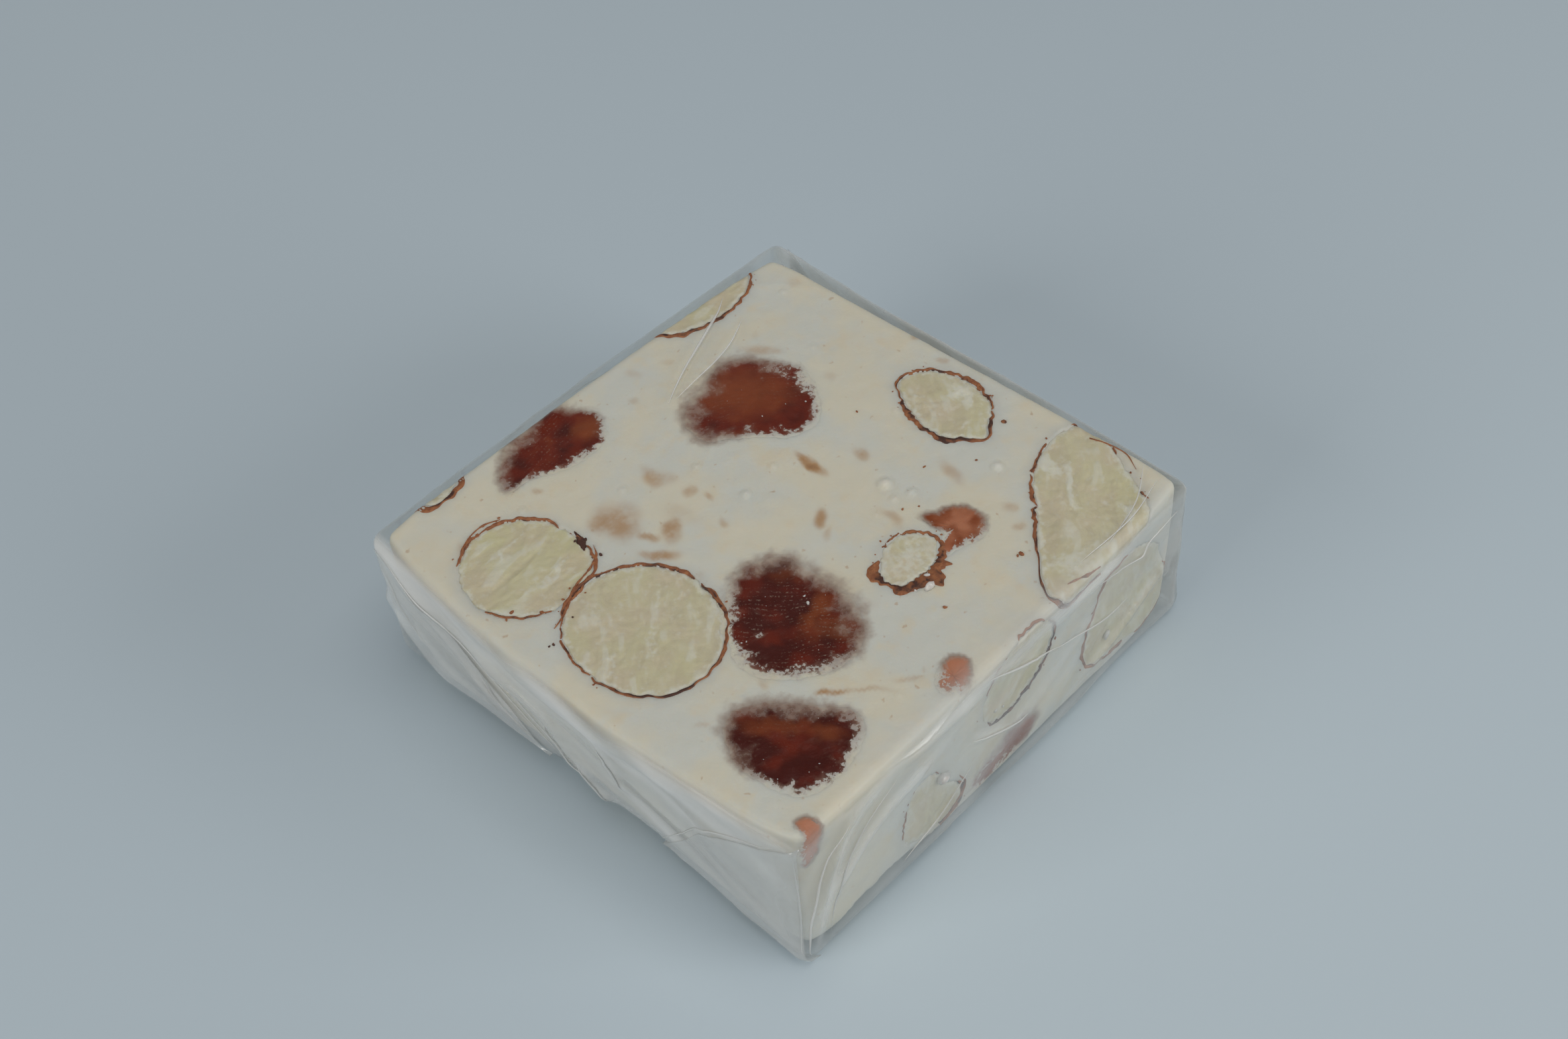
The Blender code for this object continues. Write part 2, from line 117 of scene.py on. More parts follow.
# An almond's look: its skin as arcs (from, to, width, darkness) round the face, how yellow, white and flaky
# its kernel is, and which way its fibres run. Its patches are white flakes, or grooves where negative, which
# are sunk and painted darker as shade.
Almond = namedtuple("Almond", "skin yellow white flaky grain patches", defaults=((),))
ALMONDS = (
    Inclusion("almond_leaf", "top", (36.9, 18.7), (5.1, 3.4), 82, 3.6,
              look=Almond(((0, 360, 0.3, 0.2), (120, 165, 0.4, 0.4), (175, 285, 0.42, 0.6)), 0.6, 0.2, 0.4,
                   50, blots((38.4, 18.4, 1.3, 0.8, 60, 0.9), (36.0, 16.4, 1.0, 0.5, 0, 0.6),
                   (35.6, 20.2, 1.6, 0.4, 50, 0.5))),
              rim=((-167, 3.0), (-150, 3.3), (-135, 3.6), (-120, 3.7), (-109, 4.3), (-99, 4.6), (-88, 4.0),
                   (-67, 3.6), (-47, 3.4), (-23, 3.0), (5, 3.0), (31, 3.2), (51, 3.7), (68, 4.1), (84, 4.4),
                   (99, 4.4), (110, 3.8), (125, 3.3), (146, 2.8), (170, 2.8))),
    Inclusion("almond_right_corner", "top", (35.3, 4.5), (8.3, 4.2), 38, 2.2,
              look=Almond(((128, 222, 0.3, 0.5), (60, 132, 0.24, 0.15), (-42, 46, 0.15, 0.25),
                   (222, 240, 0.16, 0.3)), 0.5, 0.3, 0.3, 48, blots((37.2, 9.0, 1.5, 0.9, 60, 1.0),
                   (36.6, 6.6, 2.6, 0.4, 48, 0.8), (36.7, 1.6, 0.9, 0.5, 30, 1.0),
                   (30.6, 1.6, 2.3, 1.3, -47, 0.8), (33.6, 0.9, 1.1, 0.7, -30, 0.7),
                   (32.6, 5.2, 2.6, 0.7, 50, -0.9), (40.2, 8.4, 1.0, 0.8, 0, -0.5))),
              rim=((-171, 6.4), (-163, 7.9), (-158, 8.8), (-151, 8.6), (-143, 8.1), (-134, 6.6),
                   (-120, 5.7), (-103, 5.1), (-77, 4.8), (-55, 4.9), (-43, 4.7), (-24, 4.5), (-9, 4.8),
                   (7, 5.4), (20, 6.5), (28, 7.6), (33, 8.2), (40, 8.4), (48, 7.8), (56, 7.1), (67, 6.2),
                   (81, 5.2), (96, 4.4), (118, 3.6), (151, 3.7), (175, 4.8))),
    Inclusion("almond_left_corner", "top", (5.2, 31.3), (4.9, 4.55), 178, 4.2,
              look=Almond(((10, 130, 0.2, 0.0), (278, 362, 0.22, 0.1), (190, 282, 0.2, 0.25)), 0.9, 0.3,
                   0.4, 5, blots((5.7, 33.6, 2.4, 0.3, 4, 0.6), (5.6, 29.4, 2.6, 0.35, -2, 0.7),
                   (4.7, 31.5, 2.4, 0.25, 4, -0.8), (5.2, 28.7, 1.6, 0.9, 0, -0.5))),
              rim=((-178, 4.7), (-141, 4.6), (-107, 4.7), (-78, 4.7), (-51, 5.0), (-37, 5.0), (-18, 4.7),
                   (6, 4.5), (29, 4.6), (50, 4.7), (71, 4.8), (92, 4.9), (134, 4.8), (162, 4.7))),
    Inclusion("almond_round", "top", (6.8, 20.7), (6.1, 5.6), 75, 5.0,
              look=Almond(((0, 360, 0.2, 0.2), (190, 262, 0.24, 0.75), (75, 105, 0.3, 0.1),
                   (262, 350, 0.26, 0.35)), 0.45, 0.45, 0.4, 47, blots((3.0, 20.1, 1.9, 0.45, 52, 0.5),
                   (5.9, 19.1, 2.3, 0.5, 42, 0.5), (9.4, 21.4, 1.6, 0.5, 50, 0.45),
                   (5.1, 24.8, 1.5, 0.5, 40, 0.5), (6.2, 21.7, 2.2, 0.9, 46, -0.4))),
              rim=((-164, 5.5), (-147, 5.8), (-120, 6.2), (-91, 6.2), (-56, 5.8), (-22, 5.6), (-6, 5.5),
                   (11, 5.7), (28, 5.7), (47, 5.9), (79, 6.1), (104, 6.2), (118, 6.0), (146, 5.7),
                   (159, 5.5), (178, 5.4))),
    Inclusion("almond_small", "top", (23.6, 11.0), (3.5, 2.5), 37, 3.0,
              look=Almond(((0, 360, 0.18, 0.2), (140, 215, 0.7, 0.3), (200, 305, 1.35, 0.5),
                   (290, 345, 0.7, 0.5)), 0.3, 0.5, 0.6, 60, blots((23.6, 11.0, 1.8, 1.3, 30, 0.65))),
              rim=((-171, 2.8), (-154, 2.8), (-135, 2.3), (-111, 1.9), (-84, 1.9), (-53, 2.0), (-24, 2.5),
                   (-2, 2.8), (19, 2.5), (46, 2.4), (76, 2.1), (114, 2.0), (147, 2.1), (170, 2.6))),
    Inclusion("almond_left_edge", "top", (33.2, 42.0), (5.4, 3.6), 174, 3.4,
              look=Almond(((185, 330, 0.34, 0.35), (330, 395, 0.3, 0.3)), 0.7, 0.1, 0.3, 0)),
    Inclusion("almond_left_side", "left", (-6.7, 8.9), (5.8, 3.8), 80, 3.2,
              look=Almond(((20, 170, 0.4, 0.3), (180, 340, 0.3, 0.4)), 0.5, 0.2, 0.4, 80)),
    Inclusion("almond_right_upper", "right", (22.9, 10.6), (4.3, 3.1), 33, 3.0, pointed=1.9,
              look=Almond(((20, 215, 0.16, 0.1), (215, 395, 0.28, 0.75)), 0.6, 0.3, 0.4, 50)),
    Inclusion("almond_right_lower", "right", (13.4, 4.5), (3.8, 2.7), 122, 2.8, lobes=((3, 0.14, -30),),
              look=Almond(((70, 200, 0.12, 0.2), (290, 360, 0.3, 0.3)), 0.5, 0.7, 0.7, 100)),
    Inclusion("almond_right_large", "right", (35.9, 6.3), (6.2, 5.2), 130, 3.8, pointed=1.5,
              lobes=((3, 0.12, -45),),
              look=Almond(((95, 265, 0.3, 0.2), (285, 370, 0.2, 0.2)), 0.6, 0.6, 0.8, 110)),
    Inclusion("almond_back_side", "back", (27.0, 7.6), (5.6, 4.0), 24, 3.6, pointed=1.9,
              look=Almond(((0, 360, 0.3, 0.3), (180, 270, 0.45, 0.7)), 0.5, 0.5, 0.5, 30)),
    Inclusion("almond_base", "base", (27.5, 13.5), (6.2, 4.0), 60, 3.2, pointed=1.9,
              look=Almond(((0, 360, 0.32, 0.3),), 0.4, 0.5, 0.6, 60)),
    Inclusion("almond_base_round", "base", (12.5, 30.5), (5.4, 5.0), 10, 3.2,
              look=Almond(((-30, 250, 0.32, 0.4),), 0.7, 0.5, 0.5, 20)),
)

# A cherry's look: how wide its veil of nougat is all round and how much wider towards one direction, how
# light its flesh is, how strong its fine rows are and which way they run, and its painted glows: lighter
# brown places painted in the flesh as light glowing through it.
Cherry = namedtuple("Cherry", "veil extra towards tone rows rows_turn glows", defaults=((),))
CHERRIES = (
    Inclusion("cherry_back", "top", (27.8, 30.0), (5.1, 4.5), 141, 3.8,
              look=Cherry(0.8, 0.9, 110, 0.45, 0.5, -43, blots((28.0, 31.2, 3.6, 2.4, 130, 0.7))),
              rim=((-176, 5.3), (-164, 4.4), (-146, 3.9), (-126, 3.9), (-106, 4.6), (-90, 5.1), (-77, 5.4),
                   (-61, 5.2), (-39, 4.9), (-20, 4.9), (-2, 5.0), (10, 4.7), (28, 4.5), (46, 4.7),
                   (78, 4.7), (96, 4.4), (116, 4.5), (134, 5.0), (153, 5.6), (173, 5.5))),
    Inclusion("cherry_left", "top", (14.8, 38.6), (4.9, 3.1), 0, 3.0,
              look=Cherry(0.6, 0.9, 95, 0.3, 0.6, 10, blots((17.6, 37.6, 1.4, 1.0, 10, 0.8))),
              rim=((-177, 5.3), (-166, 5.3), (-162, 4.3), (-150, 3.4), (-129, 3.0), (-105, 2.9), (-82, 3.1),
                   (-61, 3.5), (-46, 4.0), (-26, 4.3), (-4, 4.6), (5, 4.3), (16, 3.8), (35, 3.9), (52, 3.9),
                   (64, 3.5), (88, 3.0), (112, 3.1), (131, 3.4), (149, 3.8), (168, 4.6))),
    Inclusion("cherry_middle", "top", (13.9, 13.5), (5.6, 4.75), 64, 4.2,
              look=Cherry(1.0, 0.9, 5, 0.15, 1.0, -40, blots((15.8, 12.6, 1.9, 0.8, 20, 0.75),
                   (15.4, 10.9, 2.0, 1.1, -40, 0.5), (16.7, 16.6, 1.3, 0.7, -40, 0.35))),
              rim=((-177, 5.3), (-144, 5.3), (-113, 5.3), (-98, 5.5), (-83, 5.6), (-67, 5.4), (-48, 5.1),
                   (-27, 4.7), (0, 4.4), (29, 5.0), (49, 5.9), (67, 6.0), (86, 5.7), (105, 5.1), (132, 4.5),
                   (162, 4.7))),
    Inclusion("cherry_front", "top", (6.3, 6.1), (4.8, 3.5), 119, 3.8,
              look=Cherry(0.75, 0.7, 75, 0.1, 0.25, -37, blots((6.6, 7.9, 2.6, 0.8, -52, 0.55),
                   (8.4, 5.0, 1.4, 0.8, -60, 0.6))),
              rim=((-163, 3.8), (-145, 4.1), (-130, 4.3), (-112, 4.2), (-91, 4.0), (-69, 4.2), (-51, 4.5),
                   (-35, 4.9), (-19, 5.0), (-1, 4.1), (23, 3.4), (58, 3.6), (85, 4.4), (100, 5.1),
                   (113, 5.0), (136, 4.4), (156, 4.1), (178, 3.8))),
    Inclusion("cherry_small", "top", (28.1, 10.2), (2.5, 2.2), 107, 1.8,
              look=Cherry(0.4, 0.2, 45, 1.12, 0.2, 0),
              rim=((-168, 2.6), (-155, 2.9), (-144, 2.3), (-119, 1.9), (-100, 1.9), (-76, 2.1), (-50, 2.1),
                   (-27, 2.2), (-1, 2.1), (32, 2.1), (61, 2.0), (92, 2.2), (110, 2.9), (121, 2.2),
                   (137, 1.5), (174, 1.5))),
    Inclusion("cherry_fleck", "top", (17.6, 1.8), (1.8, 1.2), 21, 1.3,
              look=Cherry(0.5, 0.0, 0, 1.7, 0.0, 0)),
    Inclusion("cherry_corner", "right", (1.9, 12.9), (2.4, 0.95), 76, 1.5,
              look=Cherry(0.4, 0.0, 0, 1.7, 0.0, 0)),
    Inclusion("cherry_right_side", "right", (21.9, 2.6), (4.0, 1.75), 12, 1.8, lobes=((3, 0.14, 60),),
              look=Cherry(1.0, 0.3, 60, 1.0, 0.2, 0)),
    Inclusion("cherry_back_side", "back", (14.0, 7.0), (4.2, 3.4), 100, 3.0, lobes=((3, 0.07, 30),),
              look=Cherry(0.7, 0.3, 90, 0.2, 0.8, 0, blots((15.0, 8.0, 1.5, 0.8, 30, 0.8)))),
    Inclusion("cherry_base", "base", (31.5, 26.5), (4.4, 3.4), 30, 3.0, lobes=((3, 0.07, 90),),
              look=Cherry(0.7, 0.3, 90, 0.3, 0.8, 0, blots((32.5, 27.0, 1.5, 0.8, 30, 0.8)))),
)

# Soft tan places where syrup or skin has stained the top, and its bubbles: their middles and radii.
TOP_STAINS = blots(
    (32.2, 33.3, 1.6, 0.6, 129, 0.5), (33.3, 27.5, 0.7, 0.5, 44, 0.3), (29.2, 20.3, 0.85, 0.65, 78, 0.55),
    (25.8, 22.4, 1.55, 0.5, 82, 1.3), (31.8, 14.0, 1.6, 0.6, 76, 0.5), (22.3, 18.3, 1.0, 0.6, 43, 0.8),
    (17.5, 30.1, 1.3, 0.9, 105, 0.6), (18.2, 27.4, 0.6, 0.5, 98, 0.6), (18.6, 25.8, 0.6, 0.25, 89, 0.6),
    (14.8, 25.5, 1.3, 0.8, 43, 0.75), (12.4, 29.4, 2.1, 1.8, 79, 0.75), (13.0, 26.6, 1.3, 0.4, 130, 0.7),
    (12.3, 24.8, 1.8, 0.6, 129, 0.8), (16.1, 26.3, 1.8, 1.0, 98, 0.3), (25.7, 14.5, 1.2, 0.5, 79, 0.5),
    (32.0, 8.6, 0.7, 0.55, 134, 0.5), (30.8, 6.6, 0.6, 0.5, 36, 0.5), (24.0, 39.1, 0.7, 0.45, 125, 0.3),
    (21.9, 37.0, 0.5, 0.4, 75, 0.35), (26.6, 38.0, 0.6, 0.4, 126, 0.35), (40.3, 21.9, 0.7, 0.4, 130, 0.5),
    (41.0, 25.1, 0.5, 0.4, 44, 0.5), (11.3, 7.1, 1.1, 0.3, 130, 1.0), (13.0, 5.4, 1.9, 0.3, 132, 0.5),
    (15.2, 4.0, 1.0, 0.25, 128, 0.45), (8.8, 11.0, 0.7, 0.5, 40, 0.4),
)
TOP_BUBBLES = (
    (27.9, 16.9, 0.62), (28.5, 14.9, 0.42), (27.2, 15.4, 0.38), (20.5, 23.9, 0.42), (23.8, 24.3, 0.34),
    (20.1, 28.6, 0.34), (15.0, 31.2, 0.34), (34.4, 11.7, 0.5), (25.2, 15.4, 0.28),
)


# ---------------------------------------------------------------- noise

# The whole numbers that mix a cell's place and a seed into a repeatable number.
HASH_AXES = (374761393, 668265263, 2246822519)
HASH_SEED = 3266489917
HASH_ROUNDS = ((15, 2246822507), (13, 3266489909))
HASH_SHIFT = 16
HASH_MASK = 0xFFFF

# Noise is read this far along each axis, where every cell's number is positive.
NOISE_SHIFT = 1000.0
OCTAVE_SEED = 11
OCTAVE_GAIN = 0.55


def smooth(low, high, value):
    t = np.clip((value - low) / (high - low), 0, 1)
    return t * t * (3 - 2 * t)


def lattice(cell, seed):
    """A repeatable number in -1..1 for each whole-numbered cell."""
    mixed = np.full(len(cell), np.uint64(seed * HASH_SEED))
    for column, factor in zip(cell.T, HASH_AXES):
        mixed += column.astype(np.uint64) * np.uint64(factor)
    for shift, factor in HASH_ROUNDS:
        mixed = (mixed ^ (mixed >> np.uint64(shift))) * np.uint64(factor)
    return ((mixed >> np.uint64(HASH_SHIFT)) & np.uint64(HASH_MASK)).astype(float) / (HASH_MASK / 2) - 1


def noise(points, size, seed):
    """Smooth noise in -1..1 whose lumps are about size wide; size may differ by axis."""
    spot = points / np.array(size) + NOISE_SHIFT
    cell = np.floor(spot)
    part = spot - cell
    part = part * part * (3 - 2 * part)
    total = np.zeros(len(points))
    for corner in np.ndindex(2, 2, 2):
        weight = np.prod(np.where(corner, part, 1 - part), axis=1)
        total += weight * lattice(cell + np.array(corner), seed)
    return total


def rough(points, size, seed, octaves=3):
    """Noise with finer noise on it."""
    total = np.zeros(len(points))
    for octave in range(octaves):
        finer = noise(points, np.array(size) / 2 ** octave, seed + OCTAVE_SEED * octave)
        total += finer * OCTAVE_GAIN ** octave
    return total


def face_noise(a, b, size, seed, layer=0.0, octaves=3):
    """Noise over a face's two directions, with lumps of one size or of one for each direction. Each layer is
    another slice through the same noise."""
    wide, high = np.broadcast_to(size, 2)
    return rough(np.stack([a, b, np.full_like(a, layer)], 1), (wide, high, 1.0), seed, octaves)


def name_seed(name, modulus):
    """A repeatable seed from a piece's name."""
    return sum(map(ord, name)) % modulus


# ---------------------------------------------------------------- shapes of the blocks

# How often to_plain corrects its guess.
PLAIN_ROUNDS = 4
# A point whose outward direction points further back than this doesn't belong to a face.
HIDDEN_FACING = -0.1


def shaped(block, plain):
    """Moves points of a plain block to the real one."""
    low, high = np.array(block.low), np.array(block.high)
    share = (plain - low) / (high - low)
    u, v, w = np.clip(share, 0.0, 1.0).T
    front_right, back_right, back_left, front_left = (np.array(c) for c in block.corners)
    right = front_right + share[:, :1] * (back_right - front_right)
    left = front_left + share[:, :1] * (back_left - front_left)
    flat = right + share[:, 1:2] * (left - right)
    bow = 4 * v * (1 - v)
    at_foot = np.clip(1 - (plain[:, 2] - block.low[2]) / FOOT_HIGH, 0, 1) ** 2
    lean = (1 - u) * (bow * (FRONT_TUCK * (1 - w) - FRONT_BULGE * w) + block.undercut * at_foot)
    side_bow = LEFT_BOW * 4 * u * (1 - u) * v
    swell = SWELL * (half_waves(u, SWELL_ALONG) * half_waves(v, SWELL_ACROSS) - 1) * w
    drawn = 1 - block.foot * at_foot / (SIDE / 2)
    flat = SIDE / 2 + (flat - SIDE / 2) * drawn[:, None]
    moved = np.stack([flat[:, 0] + lean, flat[:, 1] + side_bow, plain[:, 2] + swell], 1)
    return moved + pinched(block, plain, high, w)


def half_waves(share, waves):
    count, start = waves
    return np.sin(count * math.pi * share + start)


def pinched(block, plain, high, w):
    """How far the upright corners of a block are drawn in towards its middle, most at the foot."""
    to_side = np.minimum(plain[:, :2], high[:2] - plain[:, :2])
    near = np.clip(1 - (to_side[:, 0] + to_side[:, 1]) / PINCH_REACH, 0, 1) ** 2
    near *= 1 + FOOT_PINCH * (1 - w) ** 2
    inward = np.sign(high[:2] / 2 - plain[:, :2])
    return np.column_stack([inward * (block.pinch * near)[:, None], np.zeros(len(plain))])


def face_axes(face):
    return tuple(np.array(axis, float) for axis in FACES[face])


def span(block, axis):
    """The block's lowest and highest value along an axis."""
    return sorted((float(np.dot(block.low, axis)), float(np.dot(block.high, axis))))


def on_skin(block, face, a, b):
    """The places and outward directions on the plain block's skin for two directions along a face. What lies
    past the face's edge goes round it, down the next face."""
    across, up, out = face_axes(face)
    overs, cores = [], []
    for axis, value in ((across, a), (up, b)):
        low, high = span(block, axis)
        core = np.clip(value, low + block.edge, high - block.edge)
        cores.append(core)
        overs.append(value - core)
    reach = np.hypot(*overs)
    round_part = np.minimum(reach, block.edge)
    scale = np.where(reach > TINY, round_part / np.maximum(reach, TINY), 0.0)
    rise = np.sqrt(block.edge ** 2 - round_part ** 2)
    height = span(block, out)[1] - block.edge + rise - np.maximum(reach - block.edge, 0)
    sideways = [over * scale for over in overs]
    place = np.outer(cores[0] + sideways[0], across) + np.outer(cores[1] + sideways[1], up)
    place += np.outer(height, out)
    normal = np.outer(sideways[0], across) + np.outer(sideways[1], up) + np.outer(rise, out)
    return place, normal / block.edge


def to_plain(block, face, a, b):
    """The two directions on the plain block of points whose two directions on the real face are given."""
    across, up, out = face_axes(face)
    level = span(block, out)[1]
    plain_a, plain_b = a.copy(), b.copy()
    for _ in range(PLAIN_ROUNDS):
        spot = shaped(block, np.outer(plain_a, across) + np.outer(plain_b, up) + level * out)
        plain_a += a - spot @ across
        plain_b += b - spot @ up
    return plain_a, plain_b


def on_slab(face, a, b, height):
    """Real places for two directions along a face of the slab and a height over its uneven skin."""
    place, normal = on_skin(SLAB, face, *to_plain(SLAB, face, a, b))
    return shaped(SLAB, place + normal * (height + unevenness(place))[:, None])


def unevenness(plain):
    """How far the slab's cut faces wander from their plain block."""
    return sum(high * rough(plain, (size,) * 3, seed, octaves) for high, size, seed, octaves in UNEVEN)


def along_face(block, face, plain, normal):
    """The two real directions along a face of points on the plain block's skin, unrolled round its edges."""
    across, up, out = face_axes(face)
    level = span(block, out)[1]
    below = np.maximum(level - block.edge - plain @ out, 0)
    sideways = np.stack([normal @ across, normal @ up], 1)
    sideways /= np.maximum(np.linalg.norm(sideways, axis=1), TINY)[:, None]
    a = plain @ across + sideways[:, 0] * below
    b = plain @ up + sideways[:, 1] * below
    spot = shaped(block, np.outer(a, across) + np.outer(b, up) + level * out)
    hidden = normal @ out < HIDDEN_FACING
    return np.where(hidden, FAR, spot @ across), np.where(hidden, FAR, spot @ up)


# ---------------------------------------------------------------- outlines

# The outlines' fine wobble: how high its waves are, and how many of each go round.
WOBBLE = 0.03
WOBBLE_COUNTS = (9, 14, 23, 31)
SLOPE_STEP = 0.02
# How far out a blot ends, and from where it is whole, in its half lengths.
BLOT_EDGE = (1.5, 0.3)
# How far an arc fades at its ends, in degrees.
ARC_FADE = 6


def outline_radius(angle, inclusion):
    """The outline's radius at an angle from its long axis, with a fine wobble."""
    seed = name_seed(inclusion.node, 97)
    wobble = sum(WOBBLE * np.sin(count * angle + seed * count) for count in WOBBLE_COUNTS)
    if inclusion.rim:
        return rim_radius(inclusion.rim, np.degrees(angle) + inclusion.turn) + wobble
    long_half, short_half = inclusion.half
    power = inclusion.pointed
    reach = np.abs(np.cos(angle) / long_half) ** power + np.abs(np.sin(angle) / short_half) ** power
    swell = sum(s * np.cos(count * (angle - math.radians(first))) for count, s, first in inclusion.lobes)
    return reach ** (-1 / power) * (1 + swell) + wobble


def rim_radius(rim, degrees):
    """The radius in each direction on a smooth closed curve through the rim's points."""
    around, reach = np.array(rim, float).T
    knots = np.concatenate([around - 360, around, around + 360])
    levels = np.tile(reach, 3)
    slopes = np.gradient(levels, knots)
    where = (degrees + 180) % 360 - 180
    leg = np.searchsorted(knots, where, side="right") - 1
    wide = knots[leg + 1] - knots[leg]
    t = (where - knots[leg]) / wide
    start, end = levels[leg], levels[leg + 1]
    rise, fall = slopes[leg] * wide, slopes[leg + 1] * wide
    return (start + rise * t + (3 * (end - start) - 2 * rise - fall) * t ** 2
            + (rise + fall - 2 * (end - start)) * t ** 3)


def depth_inside(inclusion, a, b):
    """How far inside an inclusion's outline points are, in mm; negative outside."""
    x, y = a - inclusion.at[0], b - inclusion.at[1]
    angle = np.arctan2(y, x) - math.radians(inclusion.turn)
    radius = outline_radius(angle, inclusion)
    ahead = outline_radius(angle + SLOPE_STEP, inclusion)
    slope = (ahead - outline_radius(angle - SLOPE_STEP, inclusion)) / (2 * SLOPE_STEP)
    return (radius - np.hypot(x, y)) / np.sqrt(1 + (slope / radius) ** 2)


def outline_point(inclusion, reach, angle):
    """Where a reach at an angle from an inclusion's long axis is on its face."""
    turned = angle + math.radians(inclusion.turn)
    return inclusion.at[0] + reach * np.cos(turned), inclusion.at[1] + reach * np.sin(turned)


def blotted(spots, a, b):
    """The strongest blot at each point."""
    strength = np.zeros(len(a))
    for blot in spots:
        x, y = a - blot.x, b - blot.y
        turn = math.radians(blot.turn)
        along = (x * math.cos(turn) + y * math.sin(turn)) / blot.long
        over = (y * math.cos(turn) - x * math.sin(turn)) / blot.wide
        strength = np.maximum(strength, blot.strength * smooth(*BLOT_EDGE, np.hypot(along, over)))
    return strength


def arc_strength(arcs, degrees, field):
    """A ring's width or darkness at each angle from its arcs, with soft ends."""
    best = np.zeros(len(degrees))
    for arc in arcs:
        middle, half = (arc[0] + arc[1]) / 2, (arc[1] - arc[0]) / 2
        away = np.abs((degrees - middle + 180) % 360 - 180)
        share = np.ones(len(degrees)) if half >= 180 else smooth(half + ARC_FADE, half - ARC_FADE, away)
        best = np.maximum(best, share * arc[field])
    return best


def curve_through(line, count):
    """Points evenly along a smooth curve through the line's points."""
    line = np.array(line, float)
    knots = np.concatenate([[0], np.cumsum(np.linalg.norm(np.diff(line, axis=0), axis=1))])
    ends = np.concatenate([[2 * line[0] - line[1]], line, [2 * line[-1] - line[-2]]])
    spots = np.linspace(0, knots[-1], count)
    leg = np.clip(np.searchsorted(knots, spots, side="right") - 1, 0, len(line) - 2)
    t = ((spots - knots[leg]) / (knots[leg + 1] - knots[leg]))[:, None]
    before, start, end, after = (ends[leg + i] for i in range(4))
    return 0.5 * (2 * start + (end - before) * t + (2 * before - 5 * start + 4 * end - after) * t ** 2
                  + (3 * start - before - 3 * end + after) * t ** 3)


# ---------------------------------------------------------------- meshes

def make_piece(name, points, faces, material, values, replaced=()):
    """A mesh piece of the bar from grid points, riding on the root body, with its material."""
    mesh = bpy.data.meshes.new(name)
    mesh.from_pydata(((points + ORIGIN) * MM).tolist(), [], [list(map(int, f)) for f in faces])
    mesh.update()
    for key, numbers in values.items():
        attribute = mesh.attributes.new(key, "FLOAT", "POINT")
        attribute.data.foreach_set("value", numbers.astype(np.float32))
    mesh.shade_smooth()
    mesh.materials.append(material)
    piece = bpy.data.objects.new(name, mesh)
    bpy.context.scene.collection.objects.link(piece)
    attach(piece, "root")
    if replaced:
        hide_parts(*replaced)


def box_skin(xs, ys, zs):
    """Corner points and outward quads of a box's skin on grid lines."""
    shape = (len(xs), len(ys), len(zs))
    skin = np.ones(shape, bool)
    skin[1:-1, 1:-1, 1:-1] = False
    number = np.full(shape, -1)
    number[skin] = np.arange(skin.sum())
    i, j, k = np.argwhere(skin).T
    quads = []
    for axis in range(3):
        for end in (0, -1):
            quad = sheet_quads(np.take(number, end, axis))
            flip = (end == 0) != (axis == 1)
            quads.append(quad[:, ::-1] if flip else quad)
    return np.stack([xs[i], ys[j], zs[k]], 1), np.concatenate(quads)


def sheet_quads(number):
    """The quads of a sheet of numbered points."""
    return np.stack([number[:-1, :-1], number[1:, :-1], number[1:, 1:], number[:-1, 1:]], -1).reshape(-1, 4)


def block_skin(block, step):
    """The plain block's rounded skin: places, outward directions and quads."""
    low, high = np.array(block.low), np.array(block.high)
    lines = [np.linspace(a, b, round((b - a) / step) + 1) for a, b in zip(low, high)]
    points, quads = box_skin(*lines)
    core = np.clip(points, low + block.edge, high - block.edge)
    normal = points - core
    normal /= np.linalg.norm(normal, axis=1)[:, None]
    return core + normal * block.edge, normal, quads


def ring_body(rings, sides, first=0):
    """The faces of a closed body of rings of points, numbered from first and wound outward from the first
    ring down, with a point over the first ring and then one under the last after them."""
    side = np.arange(sides)
    after = (side + 1) % sides
    faces = []
    for top in first + sides * np.arange(rings - 1):
        faces += np.stack([top + side, top + sides + side, top + sides + after, top + after], 1).tolist()
    last = first + (rings - 1) * sides
    over, under = last + sides, last + sides + 1
    faces += [(over, first + s, first + t) for s, t in zip(side, after)]
    return faces + [(under, last + t, last + s) for s, t in zip(side, after)]


def ribbons(bands, section, spacing, taper_along, lay):
    """A closed strip along the line of each band, in one mesh: the points of every corner of every strip, and
    the faces. The section gives how far across each corner is, in half widths, and how high."""
    points, faces = [], []
    for index, band in enumerate(bands):
        count = round(8 + np.abs(np.diff(band.line, axis=0)).sum() / spacing)
        curve = curve_through(band.line, count)
        along = np.gradient(curve, axis=0)
        along /= np.linalg.norm(along, axis=1)[:, None]
        taper = taper_along(curve, index)
        starts = [sum(map(len, points)) + corner * count for corner in range(len(section))]
        for across, high in section:
            a = curve[:, 0] - along[:, 1] * across * band.width * taper
            b = curve[:, 1] + along[:, 0] * across * band.width * taper
            points.append(lay(band.face, a, b, high, taper))
        for low, high in zip(starts, starts[1:] + starts[:1]):
            faces += [(low + i, high + i, high + i + 1, low + i + 1) for i in range(count - 1)]
        faces += [starts[::-1], [start + count - 1 for start in starts]]
    return points, faces


def shell(points, faces, normal):
    """A skin made into a thin closed shell, its inner side moved in along its normals."""
    count = len(points)
    edges = dict.fromkeys((face[i - 1], face[i]) for face in faces for i in range(len(face)))
    walls = [(j, i, i + count, j + count) for i, j in edges if (j, i) not in edges]
    inner = [[corner + count for corner in face[::-1]] for face in faces]
    return np.concatenate([points, points - normal * FILM_THICKNESS]), faces + inner + walls


# ---------------------------------------------------------------- almonds and cherries

